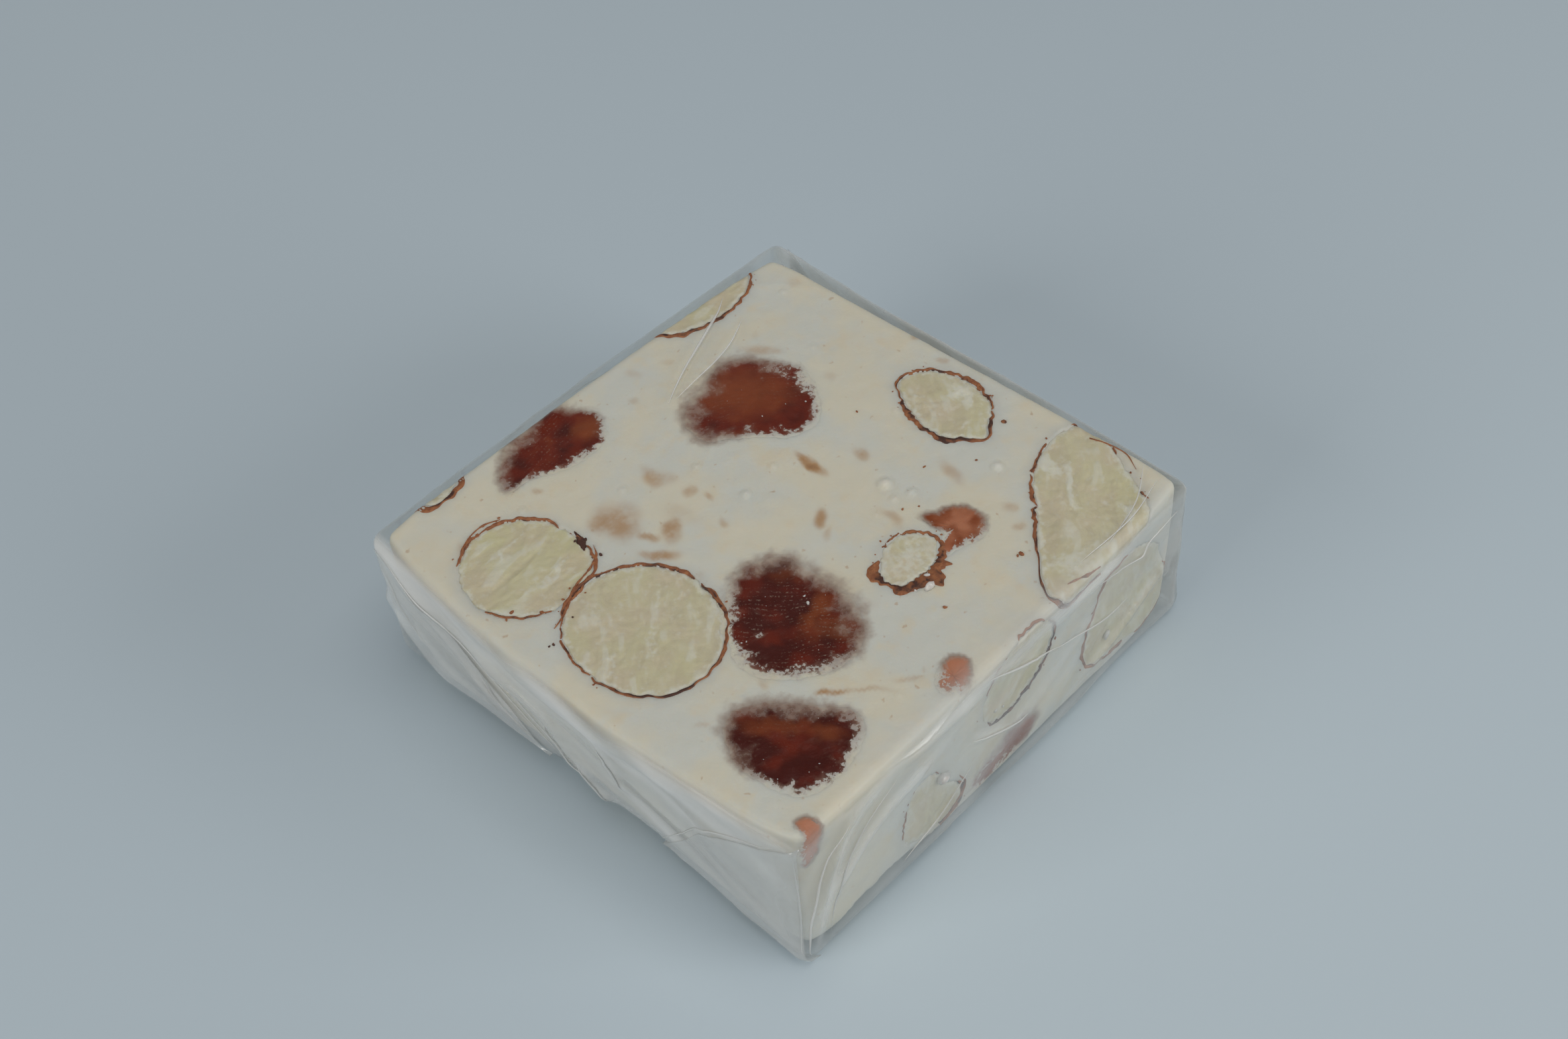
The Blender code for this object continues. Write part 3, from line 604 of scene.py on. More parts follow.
# The cut face's first ring, as a share of its outline, and the rings of the bowl under it, as turns in
# radians down from its rim. The bowl is this share of the inclusion's depth, and its rim lies a little lower.
CENTRE_SHARE = 0.02
BOWL_TURNS = np.linspace(0.12, 1.5, 7)
BOWL_FULLNESS = 0.8
BOWL_DROP = -0.12


def cut_rings(inclusion, rim):
    """The rings of a cut body's points: their two directions along the face, their heights, and how many
    sides each ring has and how many rings are on the cut face."""
    mean = sum(inclusion.half) / 2
    sides, rings = round(TURN * mean / CUT_STEP), round(mean / CUT_STEP)
    angle = TURN * np.arange(sides) / sides
    bowl = inclusion.depth * BOWL_FULLNESS
    shares = [*np.linspace(CENTRE_SHARE, 1.0, rings), *map(math.cos, BOWL_TURNS)]
    drops = [0.0] * rings + [-bowl * math.sin(turn) + BOWL_DROP for turn in BOWL_TURNS]
    reach = np.outer(shares, outline_radius(angle, inclusion) + rim)
    a, b = outline_point(inclusion, reach, angle)
    return a.ravel(), b.ravel(), np.repeat(drops, sides), sides, rings


def with_ends(rows, sides):
    """The rings' rows, and after them the mean of the first ring and of the last."""
    return np.concatenate([rows, [rows[:sides].mean(0), rows[-sides:].mean(0)]])


def cut_piece(inclusion, surface, material, rim=0.0):
    """An inclusion as a closed body: a finely meshed cut face that follows the slab, over a rounded bowl. rim
    is how far the cut face runs on under the nougat past the outline. surface gives its relief and values."""
    a, b, height, sides, rings = cut_rings(inclusion, rim)
    relief, values = surface(inclusion, a, b, depth_inside(inclusion, a, b))
    height[:rings * sides] += relief[:rings * sides]
    points = with_ends(on_slab(inclusion.face, a, b, height), sides)
    values = {key: with_ends(numbers, sides) for key, numbers in values.items()}
    faces = ring_body(len(a) // sides, sides)
    make_piece(inclusion.node, points, faces, material, values, (inclusion.node,))


# A kernel's fibres and flakes: how long and wide each is, and how much of the noise is a flake.
FIBRE_SIZE = (1.9, 0.6)
FLAKE_SIZE = (2.4, 1.0)
FLAKE_EDGE = (0.3, 0.6)
# The kernel's relief: how deep its face lies, how high or deep its marks are, and how its edge falls off.
KERNEL_HIGH = -0.02
FIBRE_HIGH = 0.03
FLAKE_HIGH = 0.08
GROOVE_DEEP = 0.12
GRIT_HIGH = 0.03
GRIT_SIZE = 0.35
KERNEL_EDGE_DROP = -0.1
KERNEL_EDGE_WIDE = 0.25
YELLOW_SPREAD = 0.35


def kernel_surface(inclusion, a, b, deep):
    """A kernel's relief, and where its fibres, white flakes, grooves and yellow places are."""
    look, seed = inclusion.look, name_seed(inclusion.node, 89)
    grain = math.radians(look.grain)
    along = a * math.cos(grain) + b * math.sin(grain)
    bend = 0.5 * face_noise(a, b, 3.0, seed + 7, seed, 1)
    over = b * math.cos(grain) - a * math.sin(grain) + bend
    fibre = face_noise(along, over, FIBRE_SIZE, seed, seed)
    ragged = face_noise(a, b, 0.4, seed + 8, seed, 1)
    flake = face_noise(along, over, FLAKE_SIZE, seed + 3, seed) + 0.18 * ragged
    flake = smooth(*FLAKE_EDGE, flake + (look.flaky - 0.7) * 0.6)
    swirl, swirl_too = (0.5 * face_noise(a, b, 1.5, seed + more, seed) for more in (10, 12))
    white = blotted([p for p in look.patches if p.strength > 0], a + swirl, b + swirl_too)
    groove = blotted([p._replace(strength=-p.strength) for p in look.patches if p.strength < 0], a, b)
    flake = np.maximum(0.6 * flake * look.white, white) * (1 + 0.3 * ragged)
    grit = face_noise(a, b, GRIT_SIZE, seed + 5, seed, 1)
    relief = KERNEL_HIGH + FIBRE_HIGH * fibre + FLAKE_HIGH * flake - GROOVE_DEEP * groove + GRIT_HIGH * grit
    relief = relief + KERNEL_EDGE_DROP * smooth(KERNEL_EDGE_WIDE, 0.0, deep)
    yellow = look.yellow + YELLOW_SPREAD * face_noise(a, b, 3.0, seed, 0.0, 1)
    return relief, {
        "fibre": fibre * (1 - groove),
        "flake": np.clip(flake, 0, 1),
        "groove": groove,
        "yellow": np.clip(yellow, 0, 1),
        "deep": deep,
    }


# The skin's section: how far across its width, and how high as a share of its own height; then its foot,
# which is as far below the cut face as is written here.
SKIN_SECTION = ((0.0, -0.4), (0.12, 0.6), (0.5, 1.0), (0.86, 0.7), (1.0, -0.5))
SKIN_FOOT = ((0.7, -0.9), (0.2, -0.9))
# Where the skin is narrower than the first width it is gone, and from the second on it is whole.
SKIN_WIDTHS = (0.04, 0.14)
SKIN_THINNEST = 0.08
SKIN_HIGH = 0.05
SKIN_LAP = 0.08
SKIN_GONE = 0.6


def skin_piece(inclusion, material):
    """The torn brown skin round an almond: a wavy ribbon that stands a little over the cut face."""
    seed = name_seed(inclusion.node, 83)
    mean = sum(inclusion.half) / 2
    sides = round(TURN * mean / SKIN_STEP)
    angle = TURN * np.arange(sides) / sides
    x, y = mean * np.cos(angle), mean * np.sin(angle)
    degrees = np.degrees(angle) + inclusion.turn
    width, dark = (arc_strength(inclusion.look.skin, degrees, field) for field in (2, 3))
    uneven = 1 + 0.6 * face_noise(x, y, 1.6, seed) + 0.2 * face_noise(x, y, 0.4, seed + 1, 0.0, 1)
    wide = 1.05 * width * uneven
    present = smooth(*SKIN_WIDTHS, wide)
    wide = np.maximum(wide, SKIN_THINNEST)
    tall = SKIN_HIGH + 0.03 * face_noise(x, y, 0.7, seed + 2, 0.0, 1) * present
    outline = outline_radius(angle, inclusion)
    sway = 0.07 * face_noise(x, y, 1.1, seed + 5, 0.0, 1)
    rows = []
    for across, level in SKIN_SECTION + SKIN_FOOT:
        far, near = 7 * across, 3 * across
        jitter = 0.04 * face_noise(x + far, y + far, 0.3, seed + 4, far, 1)
        reach = outline - SKIN_LAP + wide * across + jitter + sway
        lift = 0.1 * min(level, 0) + tall * max(level, 0) - SKIN_GONE * (1 - present)
        if (across, level) in SKIN_FOOT:
            lift = np.full(sides, level)
        patchy = 0.6 * face_noise(x + near, y + near, 0.9, seed + 6, near)
        shade = np.clip(dark + patchy + 0.3 - 0.5 * across, 0, 1)
        rows.append([*outline_point(inclusion, reach, angle), lift, shade])
    a, b, height, shade = np.concatenate(rows, axis=1)
    side = np.arange(sides)
    after = (side + 1) % sides
    faces = []
    for row in range(len(rows)):
        low, high = row * sides, (row + 1) % len(rows) * sides
        faces += np.stack([low + side, high + side, high + after, low + after], 1).tolist()
    points = on_slab(inclusion.face, a, b, height)
    make_piece(inclusion.node + "_skin", points, faces, material, {"dark": shade})


# How far a cherry's cut face runs on under the nougat, how much wider its veil is on the frosted side, and
# how far apart its fine rows are.
CHERRY_RIM = 0.5
FROST_REACH = 0.6
ROW_PITCH = 0.36
# The cherry's relief: its height at the rim, how far that sinks under the nougat, and how far its flesh lies
# deeper inside and is folded.
CHERRY_HIGH = 0.012
CHERRY_UNDER = -0.06
CHERRY_SINK = -0.06
CHERRY_FOLDS = 0.09


def veil_cosine(inclusion, a, b):
    """1 in the direction from a cherry's middle in which its veil of nougat is widest, -1 in the other."""
    direction = np.arctan2(b - inclusion.at[1], a - inclusion.at[0])
    return np.cos(direction - math.radians(inclusion.look.towards))


def veil_over(inclusion, a, b, deep):
    """How much nougat veils a cherry: 0 where its flesh shows, 1 at its outline, and over 1 outside."""
    look, cosine = inclusion.look, veil_cosine(inclusion, a, b)
    wide = look.veil + look.extra * (0.5 + 0.5 * cosine) ** 2
    wide = wide + FROST_REACH * look.veil * (0.5 - 0.5 * cosine) ** 2
    ragged = face_noise(a, b, 1.3, 21, 0.0, 2)
    return 1 - deep / (wide * (1 + 0.45 * ragged)) + 0.12 * ragged


def frosted(inclusion, a, b):
    """How much white sugar frost shows: most on the side away from the veil's wide part."""
    return (0.5 - 0.5 * veil_cosine(inclusion, a, b)) ** 1.5


def cherry_surface(inclusion, a, b, deep):
    """A cherry's relief, and its veil, frost, tone, painted glow and fine rows."""
    look, seed = inclusion.look, name_seed(inclusion.node, 79)
    folds = face_noise(a, b, 1.6, seed + 2, seed)
    under = CHERRY_UNDER * smooth(0.2, -CHERRY_RIM, deep)
    relief = CHERRY_HIGH + under + smooth(0.3, 1.2, deep) * (CHERRY_SINK + CHERRY_FOLDS * folds)
    row_turn = math.radians(look.rows_turn)
    over = b * math.cos(row_turn) - a * math.sin(row_turn)
    wander = 0.45 * face_noise(a, b, 2.4, seed, seed, 1)
    spread = face_noise(a, b, 1.5, seed + 4, seed)
    swirl, swirl_too = (0.35 * face_noise(a, b, 1.1, seed + more) for more in (5, 6))
    patchy = smooth(-0.5, 0.3, face_noise(a, b, 2.6, seed + 9, seed, 1))
    return relief, {
        "veil": veil_over(inclusion, a, b, deep),
        "frost": frosted(inclusion, a, b),
        "tone": look.tone + 0.25 * spread,
        "glow": blotted(look.glows, a + swirl, b + swirl_too),
        "row": (over + wander) / ROW_PITCH,
        "rowed": look.rows * patchy,
    }


# ---------------------------------------------------------------- bits

# A strand of skin or syrup that lies on the cut face along a line, with its half width and how dark it is.
Strand = namedtuple("Strand", "face line width dark")
STRANDS = (
    Strand("top", ((9.9, 29.0), (9.3, 28.1), (8.1, 27.6), (6.3, 27.2), (5.1, 26.6)), 0.12, 0.1),
    Strand("top", ((5.3, 26.6), (3.9, 25.9), (2.7, 25.5)), 0.14, 0.2),
    Strand("top", ((9.9, 31.0), (9.7, 30.2), (9.4, 29.6), (9.1, 29.1)), 0.3, 1.0),
    Strand("top", ((3.6, 36.1), (4.9, 36.5), (6.1, 36.5), (7.2, 36.0)), 0.1, 0.0),
    Strand("top", ((40.9, 8.3), (41.3, 6.8), (41.4, 5.4), (40.6, 3.8)), 0.06, 0.3),
    Strand("top", ((28.9, 0.9), (30.6, 0.5), (32.0, 0.4)), 0.1, 0.5),
    Strand("right", ((14.6, 0.9), (16.2, 2.0), (17.2, 3.4), (16.6, 5.0)), 0.16, 0.4),
)
STRAND_SECTION = ((-1.0, -0.05), (-0.3, 0.05), (0.5, 0.06), (1.0, -0.05), (0.0, -0.25))
STRAND_STEP = 0.12

# A bit: a small lump on a face, with its half length, how flat it is, and how dark it is.
Bit = namedtuple("Bit", "face at size flat dark")
SKIN_BITS = (
    Bit("top", (5.1, 36.2), 0.16, 0.4, 0.0), Bit("top", (5.9, 36.5), 0.14, 0.4, 0.0),
    Bit("top", (6.9, 36.1), 0.12, 0.4, 0.0), Bit("top", (1.1, 28.7), 0.15, 0.5, 0.1),
    Bit("top", (1.8, 28.9), 0.2, 0.5, 0.0), Bit("top", (3.2, 27.3), 0.16, 0.5, 0.1),
    Bit("top", (0.5, 32.0), 0.14, 0.5, 0.4), Bit("top", (4.3, 25.3), 0.1, 0.5, 0.9),
    Bit("top", (1.7, 24.5), 0.17, 0.3, 0.9), Bit("top", (1.4, 24.6), 0.12, 0.3, 0.8),
    Bit("top", (12.1, 22.7), 0.12, 0.4, 0.1), Bit("top", (38.2, 14.2), 0.26, 0.3, 0.7),
    Bit("top", (32.0, 23.3), 0.12, 0.5, 0.0), Bit("top", (26.8, 14.3), 0.12, 0.5, 0.0),
    Bit("top", (27.8, 13.6), 0.12, 0.5, 0.0), Bit("top", (33.9, 13.3), 0.13, 0.5, 0.0),
    Bit("top", (29.0, 5.1), 0.26, 0.4, 0.0), Bit("top", (28.7, 5.2), 0.15, 0.4, 0.1),
    Bit("top", (31.0, 15.8), 0.14, 0.4, 0.4), Bit("top", (41.5, 5.4), 0.14, 0.5, 0.2),
    Bit("top", (21.8, 6.1), 0.17, 0.4, 0.2), Bit("top", (9.6, 27.9), 0.18, 0.5, 0.9),
    Bit("top", (9.9, 29.8), 0.16, 0.5, 1.0), Bit("top", (9.3, 30.3), 0.14, 0.5, 1.0),
)
SUGAR_BITS = (
    Bit("top", (22.5, 8.1), 0.5, 0.6, 0.0), Bit("top", (23.2, 8.9), 0.22, 0.6, 0.0),
    Bit("top", (21.6, 8.6), 0.16, 0.6, 0.0), Bit("top", (15.9, 13.6), 0.2, 0.6, 0.0),
    Bit("top", (16.2, 14.2), 0.12, 0.6, 0.0), Bit("right", (14.7, 6.7), 0.8, 0.45, 0.0),
    Bit("right", (15.3, 6.2), 0.35, 0.5, 0.0), Bit("right", (33.4, 4.8), 0.5, 0.4, 0.0),
    Bit("right", (20.4, 8.7), 0.2, 0.5, 0.0), Bit("right", (21.2, 8.4), 0.16, 0.5, 0.0),
)
BIT_RINGS = 4
BIT_SIDES = 7
BIT_WIDE = 0.65
BIT_SWELL = 0.45
# Crumbs tried round each almond, their distances from its outline, sizes, flatness and darkness.
CRUMBS = 10
CRUMB_AWAY = (0.1, 0.6)
CRUMB_SIZES = (0.04, 0.13)
CRUMB_FLAT = 0.5
CRUMB_DARK = (-0.2, 0.2)
# Grains of sugar tried on a cherry whose half length and half width are 5 mm together.
GRAINS = 16
GRAIN_FLAT = 0.8
# Bits nearer to the edge of their face than this are left out.
FACE_MARGIN = 0.7


def strand_taper(curve, index):
    """How wide a strand is along its curve: uneven, and drawn to points."""
    uneven = 1 + 0.5 * face_noise(curve[:, 0], curve[:, 1], 0.6, index, index)
    return np.sin(np.linspace(0.05, math.pi - 0.05, len(curve))) ** 0.6 * uneven


def strand_piece(material):
    """Threads of skin and syrup that lie on the cut faces, in one mesh."""
    def lay(face, a, b, high, _):
        return on_slab(face, a, b, np.full(len(a), high))

    points, faces = ribbons(STRANDS, STRAND_SECTION, STRAND_STEP, strand_taper, lay)
    corners = len(STRAND_SECTION)
    dark = [np.full(len(row), STRANDS[i // corners].dark) for i, row in enumerate(points)]
    values = {"dark": np.concatenate(dark)}
    make_piece("skin_strands", np.concatenate(points), faces, material, values)


def bit_mesh(bit, seed, first):
    """One uneven lump: its points, and its faces numbered from first."""
    polar = math.pi * (np.arange(BIT_RINGS) + 0.5) / BIT_RINGS
    around = TURN * np.arange(BIT_SIDES) / BIT_SIDES
    x = (np.sin(polar)[:, None] * np.cos(around)).ravel()
    y = (np.sin(polar)[:, None] * np.sin(around)).ravel()
    z = np.repeat(np.cos(polar), BIT_SIDES)
    ball = np.concatenate([np.stack([x, y, z], 1), [(0, 0, 1), (0, 0, -1)]])
    ball *= (bit.size * (1 + BIT_SWELL * noise(ball, (0.8, 0.8, 0.8), seed)))[:, None]
    turn = 2.4 * seed
    a = bit.at[0] + ball[:, 0] * math.cos(turn) - BIT_WIDE * ball[:, 1] * math.sin(turn)
    b = bit.at[1] + ball[:, 0] * math.sin(turn) + BIT_WIDE * ball[:, 1] * math.cos(turn)
    points = on_slab(bit.face, a, b, ball[:, 2] * bit.flat + 0.3 * bit.size * bit.flat)
    return points, ring_body(BIT_RINGS, BIT_SIDES, first)


def bits_piece(name, bits, material):
    """Many small lumps in one mesh."""
    points, faces, dark, count = [], [], [], 0
    for seed, bit in enumerate(bits):
        spots, sheets = bit_mesh(bit, seed, count)
        points.append(spots)
        faces += sheets
        dark.append(np.full(len(spots), bit.dark))
        count += len(spots)
    make_piece(name, np.concatenate(points), faces, material, {"dark": np.concatenate(dark)})


def torn_bits(rng):
    """Crumbs of skin just outside every almond, where its skin was torn by the knife."""
    bits = list(SKIN_BITS)
    for almond in ALMONDS:
        for _ in range(CRUMBS):
            angle = rng.uniform(0, TURN)
            degrees = np.array([math.degrees(angle) + almond.turn])
            if arc_strength(almond.look.skin, degrees, 2)[0] < 0.1:
                continue
            reach = outline_radius(np.array([angle]), almond)[0] + rng.uniform(*CRUMB_AWAY)
            at = outline_point(almond, reach, angle)
            bits.append(Bit(almond.face, at, rng.uniform(*CRUMB_SIZES), CRUMB_FLAT, rng.uniform(*CRUMB_DARK)))
    return [bit for bit in bits if on_a_face(bit)]


def sugar_grains(rng):
    """Grains of sugar on the cherries, thickest along their frosted sides."""
    bits = list(SUGAR_BITS)
    for cherry in CHERRIES:
        for _ in range(round(GRAINS * sum(cherry.half) / 5)):
            angle = rng.uniform(0, TURN)
            reach = outline_radius(np.array([angle]), cherry)[0] * math.sqrt(rng.uniform(0.1, 1.0)) * 0.96
            at = outline_point(cherry, reach, angle)
            white = frosted(cherry, *at)
            if rng.uniform(0, 1) < 0.15 + white * (reach / max(cherry.half)):
                bits.append(Bit(cherry.face, at, rng.uniform(0.02, 0.04 + 0.05 * white), GRAIN_FLAT, 0.0))
    return [bit for bit in bits if on_a_face(bit)]


def on_a_face(bit):
    """True for a bit that isn't past the edges of its face."""
    across, up, _ = face_axes(bit.face)
    spans = (span(SLAB, across), span(SLAB, up))
    return all(low + FACE_MARGIN < value < high - FACE_MARGIN for value, (low, high) in zip(bit.at, spans))


# ---------------------------------------------------------------- nougat

# How deep the nougat dips under an inclusion, how far inside the outline that starts for almonds and for
# cherries, and how wide the dip's edge is.
DIP = 1.2
ALMOND_START = 0.12
CHERRY_START = 0.32
DIP_EDGE = 0.3
# The nougat is read for an inclusion's veil and halo this far round it, and is clear of any veil elsewhere.
INCLUSION_REACH = 2.5
CLEAR = 3.0
HALO_EDGE = (-1.1, -0.1)
# Stains scattered over the top and over each other face: their sizes, how wide, and how strong.
TOP_SPOTS = 14
FACE_SPOTS = 10
SPOT_SIZES = (0.3, 1.0)
SPOT_WIDTHS = (0.35, 0.8)
SPOT_STRENGTHS = (0.15, 0.5)
# Bubbles scattered over each face, their radii, and how high their domes are and how deep the grooves round
# them, in radii.
FACE_BUBBLES = 25
BUBBLE_RADII = (0.16, 0.36)
DOME_HIGH = 0.35
BUBBLE_GROOVE = 0.12

# The ragged line along the foot of a face below which the nougat has broken away, and how deep.
BROKEN_FOOT = {
    "right": ((2.0, 0.1), (3.6, 1.0), (5.9, 1.9), (8.9, 1.6), (11.2, 1.4), (13.8, 0.8), (16.5, 0.1)),
    "front": ((-41.5, 2.6), (-36.0, 2.6), (-28.0, 2.2), (-20.0, 1.9), (-14.0, 1.2), (-8.0, 0.1)),
}
BROKEN_DEPTH = 1.0


def broken_foot(face, a, b):
    """How deep the nougat has broken away along the foot of a face."""
    if face not in BROKEN_FOOT:
        return np.zeros(len(a))
    line = np.interp(a, *zip(*BROKEN_FOOT[face])) + 0.3 * face_noise(a, b, 1.2, 31)
    return BROKEN_DEPTH * smooth(line + 0.15, line - 0.4, b) * smooth(-0.8, -0.1, b)


def random_spots(rng, face, count):
    """Random two directions on a face of the slab."""
    across, up, _ = face_axes(face)
    (a_low, a_high), (b_low, b_high) = span(SLAB, across), span(SLAB, up)
    a = rng.uniform(a_low + 1.5, a_high - 1.5, count)
    return np.stack([a, rng.uniform(b_low + 1.2, b_high - 1.2, count)], 1)


def random_stains(rng, face):
    for x, y in random_spots(rng, face, TOP_SPOTS if face == "top" else FACE_SPOTS):
        size = rng.uniform(*SPOT_SIZES)
        wide = size * rng.uniform(*SPOT_WIDTHS)
        yield Blot(x, y, size, wide, rng.uniform(0, 180), rng.uniform(*SPOT_STRENGTHS))


def random_bubbles(rng, face):
    for x, y in random_spots(rng, face, FACE_BUBBLES):
        yield x, y, rng.uniform(*BUBBLE_RADII)


def bubble_relief(bubbles, a, b):
    """How far the nougat stands out over its bubbles and lies deeper round them."""
    total = np.zeros(len(a))
    for x, y, radius in bubbles:
        away = np.hypot(a - x, b - y) / radius
        dome = np.clip(1 - away ** 2, 0, 1) * DOME_HIGH * radius
        groove = np.exp(-((away - 1.1) / 0.3) ** 2) * BUBBLE_GROOVE * radius
        total += np.where(away < 3, dome - groove, 0.0)
    return total


def mark_inclusion(inclusion, a, b, sink, values):
    """Sinks the nougat under an inclusion, and marks its veil and frost or its halo round it."""
    near = np.hypot(a - inclusion.at[0], b - inclusion.at[1]) < max(inclusion.half) + INCLUSION_REACH
    deep = depth_inside(inclusion, a[near], b[near])
    is_cherry = inclusion in CHERRIES
    start = CHERRY_START if is_cherry else ALMOND_START
    sink[near] = np.maximum(sink[near], DIP * smooth(start, start + DIP_EDGE, deep))
    if is_cherry:
        veil, frost = values["veil"], values["frost"]
        own = veil_over(inclusion, a[near], b[near], deep)
        frost[near] = np.where(own < veil[near], frosted(inclusion, a[near], b[near]), frost[near])
        veil[near] = np.minimum(veil[near], own)
    else:
        values["halo"][near] = np.maximum(values["halo"][near], smooth(*HALO_EDGE, deep))


def nougat_piece(material):
    """The slab, with its bubbles, stains and broken foot, and with hollows where its inclusions lie."""
    rng = np.random.default_rng(5)
    plain, normal, quads = block_skin(SLAB, SLAB_STEP)
    values = {key: np.zeros(len(plain)) for key in ("veil", "frost", "halo", "stain")}
    values["veil"] += CLEAR
    sink, lift = np.zeros(len(plain)), unevenness(plain)
    for face in FACES:
        a, b = along_face(SLAB, face, plain, normal)
        for inclusion in ALMONDS + CHERRIES:
            if inclusion.face == face:
                mark_inclusion(inclusion, a, b, sink, values)
        stains = [*(TOP_STAINS if face == "top" else ()), *random_stains(rng, face)]
        ragged, ragged_too = (0.3 * face_noise(a, b, 1.6, seed, 0.0, 2) for seed in (8, 9))
        values["stain"] = np.maximum(values["stain"], blotted(stains, a + ragged, b + ragged_too))
        bubbles = [*(TOP_BUBBLES if face == "top" else ()), *random_bubbles(rng, face)]
        lift += bubble_relief(bubbles, a, b) - broken_foot(face, a, b)
    points = shaped(SLAB, plain + normal * (lift - sink)[:, None])
    make_piece("nougat", points, quads, material, values, ("nougat",))


# ---------------------------------------------------------------- film

FILM_THICKNESS = 0.05
# How far the film stands out of its plain skin at most, and lies under it; how low and how high it may come.
FILM_OUT = 1.0
FILM_IN = -0.32
FILM_FLOOR = 0.02
FILM_CEILING = 14.95
# How loosely the film lies on the flat faces and on the others, and its long swells and fine folds: their
# lengths and widths, and their heights as shares of that.
SLACK_FLAT = 0.05
SLACK = 0.16
SWELLS = ((11.0, 3.4), 0.7)
FOLDS = ((12.0, 2.2), 0.4)
# The direction along the face's fine folds, in degrees.
FOLD_TURN = {"top": 20, "base": 0, "right": 28, "left": -20, "front": -24, "back": 24}

# How milky the film of each face is, between which heights that fades out at the foot of the front, and the
# streaks of milk, partly painted highlight streaks: their length and width, and how strong they are.
FACE_MILK = {"top": 0.001, "base": 0.04, "right": 0.1, "left": 0.12, "front": 0.33, "back": 0.3}
FRONT_FADE = (0.6, 3.0)
MILK_AND_SHEEN_STREAKS = ((14.0, 2.0), 0.8)
# How far up the film's outward direction points where none of it is loose, and where all of it is.
LOOSE_FACING = (0.45, 0.05)

# A crease in the film: its line along a face, its height, and its half width.
Crease = namedtuple("Crease", "line height width")
CREASE_POINTS = 24
# A crease is this high at its ends, and as high as it says from this share of its length on.
CREASE_END = 0.15
CREASE_RISE = 0.25
CREASES = {
    "front": (
        Crease(((-41.6, 14.0), (-36.4, 11.6), (-30.0, 10.4), (-24.0, 9.4), (-22.2, 5.6), (-20.0, 1.8)), 0.6,
               0.8),
        Crease(((-40.5, 12.4), (-36.0, 9.4), (-32.0, 5.2), (-28.0, 1.6)), 0.3, 0.6),
        Crease(((-24.2, 8.6), (-24.0, 5.6), (-22.0, 2.6)), 0.3, 0.3),
        Crease(((-18.0, 12.0), (-17.5, 8.6), (-16.6, 5.0)), 0.35, 0.6),
        Crease(((-21.6, 5.4), (-20.6, 3.4), (-19.0, 1.2)), 0.35, 0.45),
        Crease(((-30.0, 13.4), (-18.0, 12.6), (-7.0, 13.2)), 0.3, 1.1),
    ),
    "right": (
        Crease(((0.6, 0.5), (1.4, 5.3), (2.0, 8.6), (4.2, 12.4), (8.5, 13.7)), 0.5, 0.7),
        Crease(((2.4, 4.6), (4.8, 8.3), (8.5, 10.4), (14.4, 11.1)), 0.45, 0.6),
        Crease(((9.2, 13.6), (14.0, 13.4), (19.0, 12.6)), 0.35, 0.5),
        Crease(((18.6, 13.8), (22.8, 12.1), (26.5, 10.6), (35.6, 7.4)), 0.35, 0.4),
        Crease(((16.8, 8.8), (20.1, 7.3), (24.0, 5.3)), 0.35, 0.4),
        Crease(((26.0, 12.6), (32.0, 13.2), (38.5, 11.0)), 0.35, 0.5),
        Crease(((3.0, 1.2), (12.0, 1.6), (22.0, 1.1), (34.0, 1.4)), 0.3, 0.5),
        Crease(((28.0, 3.4), (34.0, 4.4), (41.0, 8.4)), 0.35, 0.5),
        Crease(((35.5, 12.6), (38.6, 8.4), (41.0, 4.6)), 0.35, 0.45),
    ),
    "left": (
        Crease(((-41.0, 12.4), (-33.0, 10.5), (-24.0, 12.6)), 0.4, 0.5),
        Crease(((-40.0, 3.0), (-30.0, 6.2), (-20.0, 4.2), (-11.0, 6.4)), 0.4, 0.5),
        Crease(((-22.0, 13.0), (-14.0, 9.8), (-6.0, 11.5)), 0.35, 0.5),
        Crease(((-35.0, 1.2), (-24.0, 2.4), (-12.0, 1.0)), 0.35, 0.4),
        Crease(((-8.0, 2.0), (-4.0, 6.5), (-1.0, 12.5)), 0.4, 0.45),
    ),
    "back": (
        Crease(((0.7, 13.4), (6.5, 11.0), (12.0, 8.4), (18.0, 5.0), (27.0, 1.4)), 0.5, 0.45),
        Crease(((1.6, 9.5), (8.0, 6.2), (15.0, 3.0)), 0.4, 0.5),
        Crease(((41.5, 13.0), (36.0, 9.6), (31.0, 6.2), (25.0, 2.4)), 0.45, 0.4),
        Crease(((24.0, 12.8), (20.0, 9.4), (16.5, 7.4)), 0.35, 0.45),
        Crease(((39.6, 9.4), (36.2, 5.8), (33.0, 2.2)), 0.35, 0.45),
    ),
    "top": (
        Crease(((33.6, 39.6), (29.2, 37.4), (24.9, 35.4)), 0.22, 0.3),
        Crease(((34.2, 38.6), (30.7, 35.6), (23.9, 34.4)), 0.2, 0.3),
        Crease(((36.0, 40.6), (39.5, 36.0), (41.6, 30.0)), 0.22, 0.5),
        Crease(((3.0, 34.6), (6.5, 30.6), (8.4, 27.5)), 0.16, 0.4),
        Crease(((34.5, 3.2), (38.5, 6.5), (41.0, 11.5)), 0.2, 0.4),
        Crease(((2.0, 41.0), (12.0, 40.9), (24.0, 40.2)), 0.18, 0.5),
    ),
    "base": (
        Crease(((4.0, 21.0), (14.0, 20.2), (26.0, 21.6), (38.0, 20.8)), 0.2, 0.6),
        Crease(((2.0, 3.0), (12.0, 10.0), (20.5, 20.0)), 0.2, 0.5),
        Crease(((39.5, 3.5), (30.0, 10.0), (21.5, 20.0)), 0.2, 0.5),
    ),
}
